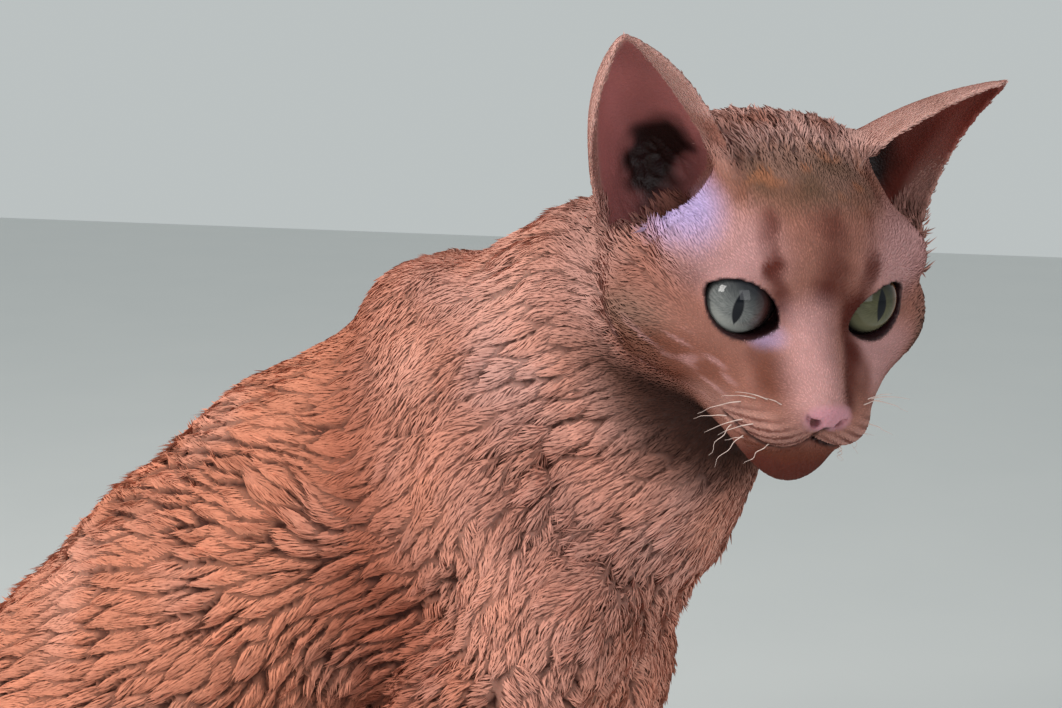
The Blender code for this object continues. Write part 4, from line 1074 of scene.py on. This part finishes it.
def tuft_sizes(points):
    """Count to a square millimetre, length, half width, height and sway of the tufts at each point."""
    zone = zones(points)
    kinds = {name: np.array(values) for name, values in TUFTS.items()}
    sizes = np.tile(kinds["body"], (len(points), 1))
    q = to_head(points)
    ears = np.maximum(on_ear(q, 1), on_ear(q, -1)) * zone["head"]
    weights = (
        ("neck", zone["neck"]), ("chest", zone["chest"]), ("limbs", np.maximum(zone["limbs"], zone["tail"])),
        ("feet", zone["feet"]), ("head", zone["head"]), ("ruff", zone["ruff"]), ("ears", ears),
    )
    for name, weight in weights:
        sizes += weight[:, None] * (kinds[name] - sizes)
    face = zone["head"] * ramp(q[:, 0], 14.0, 40.0)
    for side in SIDES.values():
        near_eye = (1.0 - ramp(eye_opening(q, side), 1.0, 7.0)) * (q[:, 0] > 8.0) * zone["head"]
        sizes[:, 1] *= 1.0 - 0.65 * near_eye
    sizes[:, 1] *= 1.0 - 0.45 * face
    sizes[:, 2] *= 1.0 - 0.20 * face
    sizes[:, 3] *= 1.0 - 0.45 * face
    return sizes


def tuft_points(roots, out, sizes, state, draw):
    """Four points of every tuft: a root in the skin, both sides of its widest place, and the tip."""
    lie = lie_of(roots, out, zones(roots))
    across = np.cross(out, lie)
    length, half, height, sway = sizes[:, 1], sizes[:, 2], sizes[:, 3], np.radians(sizes[:, 4])
    strength = state["strength"]
    swing = sway * (noise(roots / 6.5, 53) + 0.35 * draw.normal(size=len(roots)))
    swing += (state["turn"] + 0.75 * state["lean"]) * strength
    way = lie * np.cos(swing)[:, None] + across * np.sin(swing)[:, None]
    aside = np.cross(out, way)
    length = length * (0.72 + 0.5 * draw.random(len(roots)))
    height = height * (1.0 - 0.7 * state["crease"]) * (0.75 + 0.5 * draw.random(len(roots)))
    upper = ramp(out[:, 2], 0.25, 0.75)
    raised = height * (0.6 + (TIP_RISE + UPPER_RISE * upper) * state["end"] * strength)
    middle = roots + way * (0.46 * length)[:, None] + out * height[:, None]
    tip = roots + way * length[:, None] + out * raised[:, None]
    half = half * (0.8 + 0.4 * draw.random(len(roots)))
    spread = [roots - out * 0.4, middle + aside * half[:, None], middle - aside * half[:, None], tip]
    return np.stack(spread, axis=1), way


TUFT_FACES = np.array(((0, 2, 1), (3, 1, 2), (0, 1, 3), (0, 3, 2)))


def coat_regions(roots):
    """Which piece of coat each tuft belongs to, by number, with the names of the pieces."""
    x, y, z = roots.T
    behind = to_head(roots) @ SEAM_OUT
    side = (y > 0).astype(int)
    names, number = [], np.full(len(roots), -1)
    tests = (
        ("face", (behind < 40.0) & (to_head(roots)[:, 0] > 12.0)),
        ("crown", behind < 40.0),
        ("tail", ((y < -73.0) & (z < 32.0)) | (x < -300.0)),
        ("foreleg", (x > LEGS_PART) & (z < 118.0)),
        ("hindleg", z < 60.0),
        ("neck", behind < 92.0),
        ("chest", x > -92.0),
        ("ribs", x > -160.0),
        ("rump", np.ones(len(roots), bool)),
    )
    for name, test in tests:
        for s, label in ((0, "right"), (1, "left")):
            number[(number < 0) & test & (side == s)] = len(names)
            names.append(f"coat_{name}_{label}")
    return number, names


def add_patches(mesh, roots, out):
    """The OFBake map: every tuft is a small patch at its root's place, seen along six directions."""
    low, high = roots.min(axis=0), roots.max(axis=0)
    share = (roots - low) / (high - low + 1e-6)
    axis = np.argmax(np.abs(out), axis=1)
    sign = (out[np.arange(len(out)), axis] > 0).astype(int)
    rows = np.arange(len(roots))
    across = share[rows, (axis + 1) % 3]
    up = share[rows, (axis + 2) % 3]
    inner = 1.0 - 4 * PATCH
    place = np.stack(((axis + 2 * PATCH + across * inner) / 3.0, (sign + 2 * PATCH + up * inner) / 2.0), axis=1)
    shape = np.array(((0.0, -0.5), (-0.5, 0.0), (0.5, 0.0), (0.0, 0.5))) * PATCH
    points = place[:, None, :] + shape[None]
    corners = points[:, TUFT_FACES.ravel()].reshape(-1, 2)
    layer = mesh.uv_layers.new(name="OFBake")
    layer.uv.foreach_set("vector", corners.astype(np.float32).ravel())


def build_coat(points, faces, normals, bare, locks, material):
    """The fur: tufts of solid mesh in pieces by region. They are shaded as softly as the locks they lie in."""
    draw = np.random.default_rng(SEED)
    roots, out, sizes = tuft_places(points, faces, normals, bare, draw)
    state = locks.at(roots)
    spread, way = tuft_points(roots, out, sizes, state, draw)
    spread[:, :, 2] = np.maximum(spread[:, :, 2], FLOOR_CLEARANCE)
    tint = coat_tint(roots, state)
    tint *= (1.0 + 0.05 * draw.normal(size=(len(roots), 1)))
    soft = unit_rows(out + TUFT_TILT * draw.normal(size=out.shape))
    below = unit_rows(way - out)
    shading = np.stack((soft, soft, below, below), axis=1).astype(np.float32)
    number, names = coat_regions(roots)
    corners = len(TUFT_ROOT_SHADE_TIP_LIGHT)
    for k, name in enumerate(names):
        chosen = np.flatnonzero(number == k)
        for part in range(0, len(chosen), TUFT_MOST):
            some = chosen[part:part + TUFT_MOST]
            tufts = spread[some].reshape(-1, 3)
            # Each tuft's tint with painted shade at the root and a painted highlight at the tip.
            painted_shades = (tint[some][:, None, :] * np.array(TUFT_ROOT_SHADE_TIP_LIGHT)[None, :, None]).reshape(-1, 3)
            solid = (np.arange(len(some))[:, None, None] * corners + TUFT_FACES[None]).reshape(-1, 3)
            label = name + (f"_{part // TUFT_MOST + 1}" if len(chosen) > TUFT_MOST else "")
            obj = new_piece(label, tufts, solid, material, np.clip(painted_shades, 0.0, 1.0))
            obj.data.normals_split_custom_set(np.repeat(shading[some].reshape(-1, 3), 3, axis=0))
            add_patches(obj.data, roots[some], out[some])


# Eyes
def gaze_axes(side):
    """The frame of an eyeball, as columns in the head's frame: to its right, up, and where it looks."""
    out = np.array(GAZE[side]) / np.linalg.norm(GAZE[side])
    up = np.array((0.0, 0.0, 1.0)) - out * out[2]
    up /= np.linalg.norm(up)
    return np.stack((np.cross(up, out), up, out), axis=1)


def build_eye(name, side, material):
    """An eyeball whose front bulges over the iris. Every point knows its place as seen along the gaze."""
    rings, around = EYE_STEPS
    polar = np.linspace(0.0, math.pi, rings + 1)[1:-1]
    turn = np.arange(around) * 2.0 * math.pi / around
    radius = EYE_RADIUS + CORNEA_RISE * ramp(np.cos(polar), 0.55, 1.0)
    ring = np.stack((np.cos(turn), np.sin(turn)), axis=1)
    points = [np.array([(0.0, 0.0, EYE_RADIUS + CORNEA_RISE), (0.0, 0.0, -EYE_RADIUS)])]
    for angle, reach in zip(polar, radius):
        flat = ring * math.sin(angle) * reach
        points.append(np.hstack((flat, np.full((around, 1), math.cos(angle) * reach))))
    points = np.concatenate(points)
    faces = []
    for k in range(around):
        after = (k + 1) % around
        faces.append((0, 2 + k, 2 + after))
        last = 2 + (rings - 2) * around
        faces.append((1, last + after, last + k))
        for j in range(rings - 2):
            a, b = 2 + j * around, 2 + (j + 1) * around
            faces += [(a + k, b + k, b + after), (a + k, b + after, a + after)]
    place = points.copy()
    place[:, 2] = np.where(points[:, 2] > 0, 1.0, 0.0)
    turned = points @ gaze_axes(side).T + np.array(on_side(EYE_CENTRE, side))
    world = HEAD_CENTRE + turned @ HEAD_AXES.T
    obj = new_piece(name, world, np.array(faces), material, None, {"place": place})
    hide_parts(name)


# Whiskers and claws
def tubes(paths, radii, sides=5):
    """Closed tapering tubes along paths that all have the same number of points."""
    count, steps = paths.shape[:2]
    along = np.gradient(paths, axis=1)
    along /= np.linalg.norm(along, axis=2, keepdims=True)
    across = np.cross(along, np.broadcast_to((0.31, 0.17, 0.93), along.shape))
    across /= np.linalg.norm(across, axis=2, keepdims=True)
    other = np.cross(along, across)
    turn = np.arange(sides) * 2.0 * math.pi / sides
    ring = across[:, :, None] * np.cos(turn)[:, None] + other[:, :, None] * np.sin(turn)[:, None]
    points = paths[:, :, None] + ring * radii[:, :, None, None]
    faces = []
    for j in range(steps - 1):
        for k in range(sides):
            a, b = j * sides + k, j * sides + (k + 1) % sides
            faces += [(a, b, b + sides), (a, b + sides, a + sides)]
    last = (steps - 1) * sides
    faces += [(0, k + 1, k) for k in range(1, sides - 1)]
    faces += [(last, last + k, last + k + 1) for k in range(1, sides - 1)]
    faces = np.array(faces)[None] + (np.arange(count) * steps * sides)[:, None, None]
    return points.reshape(-1, 3), faces.reshape(-1, 3)


def build_whiskers(tree, material):
    """Short crinkled whiskers on the lip, as this breed has."""
    draw = np.random.default_rng(SEED + 1)
    paths, radii = [], []
    share = np.linspace(0.0, 1.0, 15)
    for side in SIDES.values():
        for row, column in itertools.product(range(3), range(4)):
            start = (45.0 - 2.6 * column, 9.0 + 1.8 * column, -20.0 - 2.9 * row)
            length = 8.0 + 1.8 * column
            root, normal, _, _ = tree.find_nearest(Vector(from_head(on_side(start, side))))
            root, normal = np.array(root), np.array(normal)
            back = HEAD_AXES @ np.array((-0.55, 0.35 * side, -0.12))
            way = unit_rows((normal * 0.75 + back)[None])[0]
            aside = unit_rows(np.cross(way, (0.2, 0.3, 0.93))[None])[0]
            phase, length = draw.random() * 6.28, length * (0.8 + 0.4 * draw.random())
            crinkle = 0.95 * share * np.sin(share * 15.0 + phase)
            sag = np.array((0.0, 0.0, -0.22)) * length
            path = root - normal * 0.6 + way * (share * length)[:, None] + aside * crinkle[:, None]
            paths.append(path + sag * (share ** 2)[:, None])
            radii.append(0.15 * (1.0 - share) + 0.035)
    points, faces = tubes(np.array(paths), np.array(radii))
    new_piece("whiskers", points, faces, material)


def build_claws(material):
    """The tip of a claw in the fur of every toe."""
    paths, radii = [], []
    share = np.linspace(0.0, 1.0, 7)
    for side in SIDES.values():
        for centre, long, wide in PAWS:
            for _, (x, y, z) in toe_places(centre, side, long, wide):
                drop = 1.3 * np.sin(share * 2.4) - 4.2 * share ** 2
                forward = np.stack((share * 5.5, 0.0 * share, drop), axis=1)
                paths.append(np.array((x + 4.2, y, z + 0.4)) + forward)
                radii.append(0.95 * (1.0 - share) + 0.12)
    points, faces = tubes(np.array(paths), np.array(radii), 8)
    new_piece("claws", points, faces, material)


# Materials
def new_material(name):
    material = bpy.data.materials.new(name)
    material.use_nodes = True
    tree = material.node_tree
    return material, tree, tree.nodes["Principled BSDF"]


def node(tree, kind, inputs=(), **settings):
    """A node with its settings, and its inputs given as values or as the outputs they are linked to."""
    made = tree.nodes.new("ShaderNode" + kind)
    for key, value in settings.items():
        setattr(made, key, value)
    for key, value in dict(inputs).items():
        if isinstance(value, bpy.types.NodeSocket):
            tree.links.new(value, made.inputs[key])
        else:
            made.inputs[key].default_value = value
    return made


def dress(tree, surface, colour, roughness, height, strength, distance):
    """Links a colour, a roughness and a bump of some height to the surface."""
    bump = node(tree, "Bump", {"Height": height, "Strength": strength, "Distance": distance})
    for value, name in ((colour, "Base Color"), (roughness, "Roughness"), (bump.outputs["Normal"], "Normal")):
        tree.links.new(value, surface.inputs[name])


def coat_material():
    """Soft hair: the tint of the place, with finer streaks and a gentle sheen."""
    material, tree, surface = new_material("coat")
    tint = node(tree, "Attribute", attribute_name="tint")
    place = node(tree, "NewGeometry")
    streaks = node(tree, "TexNoise", {"Vector": place.outputs["Position"], "Scale": 900.0, "Detail": 3.0})
    shade = node(tree, "MapRange", {"Value": streaks.outputs["Fac"], "To Min": 0.88, "To Max": 1.12})
    colour = node(tree, "VectorMath", {0: tint.outputs["Color"], 1: shade.outputs[0]}, operation="MULTIPLY")
    gloss = node(tree, "MapRange", {"Value": streaks.outputs["Fac"], "To Min": 0.74, "To Max": 0.92})
    dress(tree, surface, colour.outputs[0], gloss.outputs[0], streaks.outputs["Fac"], 0.15, 0.0002)
    surface.inputs["Specular IOR Level"].default_value = 0.12
    return material


def skin_material():
    """Skin under the coat, with fine flat hair in its bump, and bare wet leather where the attribute says."""
    material, tree, surface = new_material("skin")
    tint = node(tree, "Attribute", attribute_name="tint")
    bare = node(tree, "Attribute", attribute_name="bare")
    place = node(tree, "NewGeometry")
    fine = node(tree, "TexNoise", {"Vector": place.outputs["Position"], "Scale": 1400.0, "Detail": 4.0})
    pebbles = node(tree, "TexVoronoi", {"Vector": place.outputs["Position"], "Scale": 1500.0})
    heights = {2: fine.outputs["Fac"], 3: pebbles.outputs["Distance"]}
    grain = node(tree, "Mix", {"Factor": bare.outputs["Fac"], **heights})
    shade = node(tree, "MapRange", {"Value": fine.outputs["Fac"], "To Min": 0.80, "To Max": 1.20})
    colour = node(tree, "VectorMath", {0: tint.outputs["Color"], 1: shade.outputs[0]}, operation="MULTIPLY")
    gloss = node(tree, "MapRange", {"Value": bare.outputs["Fac"], "To Min": 0.78, "To Max": 0.46})
    dress(tree, surface, colour.outputs[0], gloss.outputs[0], grain.outputs[0], 0.35, 0.0003)
    surface.inputs["Specular IOR Level"].default_value = 0.22
    surface.inputs["Subsurface Weight"].default_value = 0.12
    surface.inputs["Subsurface Scale"].default_value = 0.002
    return material


def eye_material(name, colours):
    """A wet front over an iris with fine rays, a slit pupil and a dark edge. The iris carries a painted
    reflection low down and the lid's painted shadow over its upper part; on the right eye the nose's painted
    shade darkens the side towards it, and on the left eye the outer side is tinted orange.
    """
    material, tree, surface = new_material(name)
    place = node(tree, "Attribute", attribute_name="place")
    x, y, front = node(tree, "SeparateXYZ", {0: place.outputs["Vector"]}).outputs
    flat = node(tree, "CombineXYZ", {0: x, 1: y}).outputs[0]
    reach = node(tree, "VectorMath", {0: flat}, operation="LENGTH").outputs["Value"]
    way = node(tree, "VectorMath", {0: flat}, operation="NORMALIZE").outputs[0]
    wide = node(tree, "VectorMath", {0: way, "Scale": 9.0}, operation="SCALE").outputs[0]
    up = node(tree, "Math", {0: reach, 1: 0.45}, operation="MULTIPLY").outputs[0]
    lift = node(tree, "CombineXYZ", {2: up})
    rays_at = node(tree, "VectorMath", {0: wide, 1: lift.outputs[0]}, operation="ADD").outputs[0]
    grain = {"Vector": rays_at, "Scale": 1.6, "Detail": 6.0, "Roughness": 0.65}
    rays = node(tree, "TexNoise", grain).outputs["Fac"]
    light, dark, low, shade, side = ((*colours[k], 1.0) for k in ("light", "dark", "low", "shade", "side"))
    iris = node(tree, "MixRGB", {0: ranged(tree, rays, 0.30, 0.72), 1: dark, 2: light}).outputs[0]
    tilted = node(tree, "VectorMath", {0: flat, 1: (0.35, 0.94, 0.0)}, operation="DOT_PRODUCT").outputs["Value"]
    # Painted reflection low on the iris, painted lid shadow over its upper part, the colour of one side, then
    # the dark edge.
    layers = (
        (ranged(tree, tilted, -2.5, -6.5), low),
        (ranged(tree, tilted, -0.5, 5.5), shade),
        (ranged(tree, x, 3.5, 7.5), side),
        (ranged(tree, reach, IRIS_RADIUS - 1.0, IRIS_RADIUS + 0.3), EYE_EDGE),
    )
    for share, colour in layers:
        iris = node(tree, "MixRGB", {0: share, 1: iris, 2: colour}).outputs[0]
    half = node(tree, "Math", {0: x}, operation="ABSOLUTE").outputs[0]
    half = node(tree, "Math", {0: half, 1: PUPIL[0]}, operation="DIVIDE").outputs[0]
    tall = node(tree, "Math", {0: y, 1: PUPIL[1]}, operation="DIVIDE").outputs[0]
    tall = node(tree, "Math", {0: tall, 1: tall}, operation="MULTIPLY").outputs[0]
    lens = node(tree, "Math", {0: half, 1: tall}, operation="ADD").outputs[0]
    colour = node(tree, "MixRGB", {0: ranged(tree, lens, 1.15, 0.85), 1: iris, 2: PUPIL_BLACK}).outputs[0]
    ball_colour = node(tree, "MixRGB", {0: front, 1: EYE_EDGE, 2: colour}).outputs[0]
    dress(tree, surface, ball_colour, ranged(tree, rays, 0.0, 1.0, 0.45, 0.60), rays, 0.25, 0.0002)
    surface.inputs["Specular IOR Level"].default_value = 0.0
    surface.inputs["Coat Weight"].default_value = 1.0
    surface.inputs["Coat Roughness"].default_value = 0.03
    surface.inputs["Coat IOR"].default_value = 1.33
    return material


def ranged(tree, value, start, end, low=0.0, high=1.0):
    """A smooth change from low to high while the value goes from start to end."""
    inputs = {"Value": value, "From Min": start, "From Max": end, "To Min": low, "To Max": high}
    return node(tree, "MapRange", inputs).outputs[0]


def horn_material(name, pale, dark, scale, roughness):
    """Smooth horn of a whisker or a claw, with faint streaks."""
    material, tree, surface = new_material(name)
    place = node(tree, "NewGeometry")
    streaks = node(tree, "TexNoise", {"Vector": place.outputs["Position"], "Scale": scale, "Detail": 3.0})
    colour = node(tree, "MixRGB", {0: streaks.outputs["Fac"], 1: (*pale, 1.0), 2: (*dark, 1.0)})
    gloss = ranged(tree, streaks.outputs["Fac"], 0.2, 0.8, roughness - 0.06, roughness + 0.06)
    dress(tree, surface, colour.outputs[0], gloss, streaks.outputs["Fac"], 0.15, 0.0001)
    return material


# The stage
def add_camera():
    camera = add_object("camera", bpy.data.cameras.new("camera"))
    right, down = Vector(CAMERA_RIGHT), Vector(CAMERA_DOWN)
    camera.matrix_world = Matrix((right, -down, right.cross(-down))).transposed().to_4x4()
    camera.matrix_world.translation = Vector(CAMERA_PLACE)
    camera.data.sensor_fit = "HORIZONTAL"
    camera.data.angle = CAMERA_FIELD
    camera.data.clip_start = 0.01
    bpy.context.scene.camera = camera


def add_light(name, place, aim, size, power, colour):
    """A soft square lamp that looks at a point."""
    lamp = add_object(name, bpy.data.lights.new(name, "AREA"))
    lamp.data.size = size
    lamp.data.energy = power
    lamp.data.color = colour
    lamp.location = place
    lamp.rotation_euler = (Vector(aim) - Vector(place)).to_track_quat("-Z", "Y").to_euler()


def add_floor():
    material, tree, surface = new_material("floor")
    speckle = node(tree, "TexNoise", {"Scale": 40.0, "Detail": 5.0})
    pale, paler = (0.66, 0.675, 0.67, 1.0), (0.71, 0.72, 0.71, 1.0)
    colour = node(tree, "MixRGB", {0: speckle.outputs["Fac"], 1: pale, 2: paler})
    tree.links.new(colour.outputs[0], surface.inputs["Base Color"])
    gloss = node(tree, "MapRange", {"Value": speckle.outputs["Fac"], "To Min": 0.55, "To Max": 0.75})
    tree.links.new(gloss.outputs[0], surface.inputs["Roughness"])
    span = 2.5
    corners = np.array(((-span, -span, 0), (span, -span, 0), (span, span, 0), (-span, span, 0)))
    mesh = mesh_from_arrays("floor", corners, np.array(((0, 1, 2, 3),)))
    mesh.materials.append(material)
    add_object("floor", mesh)


def add_stage():
    """Pale floor, pale surroundings, and soft light that comes mostly from the upper left of the view."""
    bpy.context.scene.view_settings.view_transform = "Standard"
    add_floor()
    world = bpy.data.worlds.new("studio")
    bpy.context.scene.world = world
    world.use_nodes = True
    backdrop = world.node_tree.nodes["Background"]
    backdrop.inputs["Color"].default_value = (0.50, 0.535, 0.535, 1.0)
    backdrop.inputs["Strength"].default_value = 1.0
    middle = (0.05, 0.0, 0.20)
    add_light("key", (-0.60, -0.80, 0.85), middle, 0.45, 11.5, (1.0, 0.97, 0.93))
    add_light("front", (0.75, -0.85, 0.45), middle, 0.6, 3.0, (0.95, 0.95, 1.0))


def main():
    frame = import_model()
    smooth, faces, smooth_normals = smooth_skin()
    locks = Locks(smooth, smooth_normals)
    points, normals, state = raised_skin(smooth, faces, smooth_normals, locks)
    tint, bare = skin_tint(points, smooth_normals, state)
    skin = new_piece("skin", points, faces, skin_material(), tint, {"bare": bare})
    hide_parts(*[n for n in frame["nodes"] if not n.startswith("eye")])
    build_coat(points, faces, normals, bare, locks, coat_material())
    for name, side in SIDES.items():
        build_eye(f"eye_{name}", side, eye_material(f"eye_{name}", IRIS_COLOURS[side]))
    build_whiskers(BVHTree.FromPolygons(points.tolist(), faces.tolist()), horn_material(
        "whisker", (0.80, 0.66, 0.60), (0.62, 0.42, 0.36), 2000.0, 0.42))
    build_claws(horn_material("claw", (0.74, 0.58, 0.52), (0.56, 0.38, 0.33), 900.0, 0.32))
    add_camera()
    add_stage()


main()
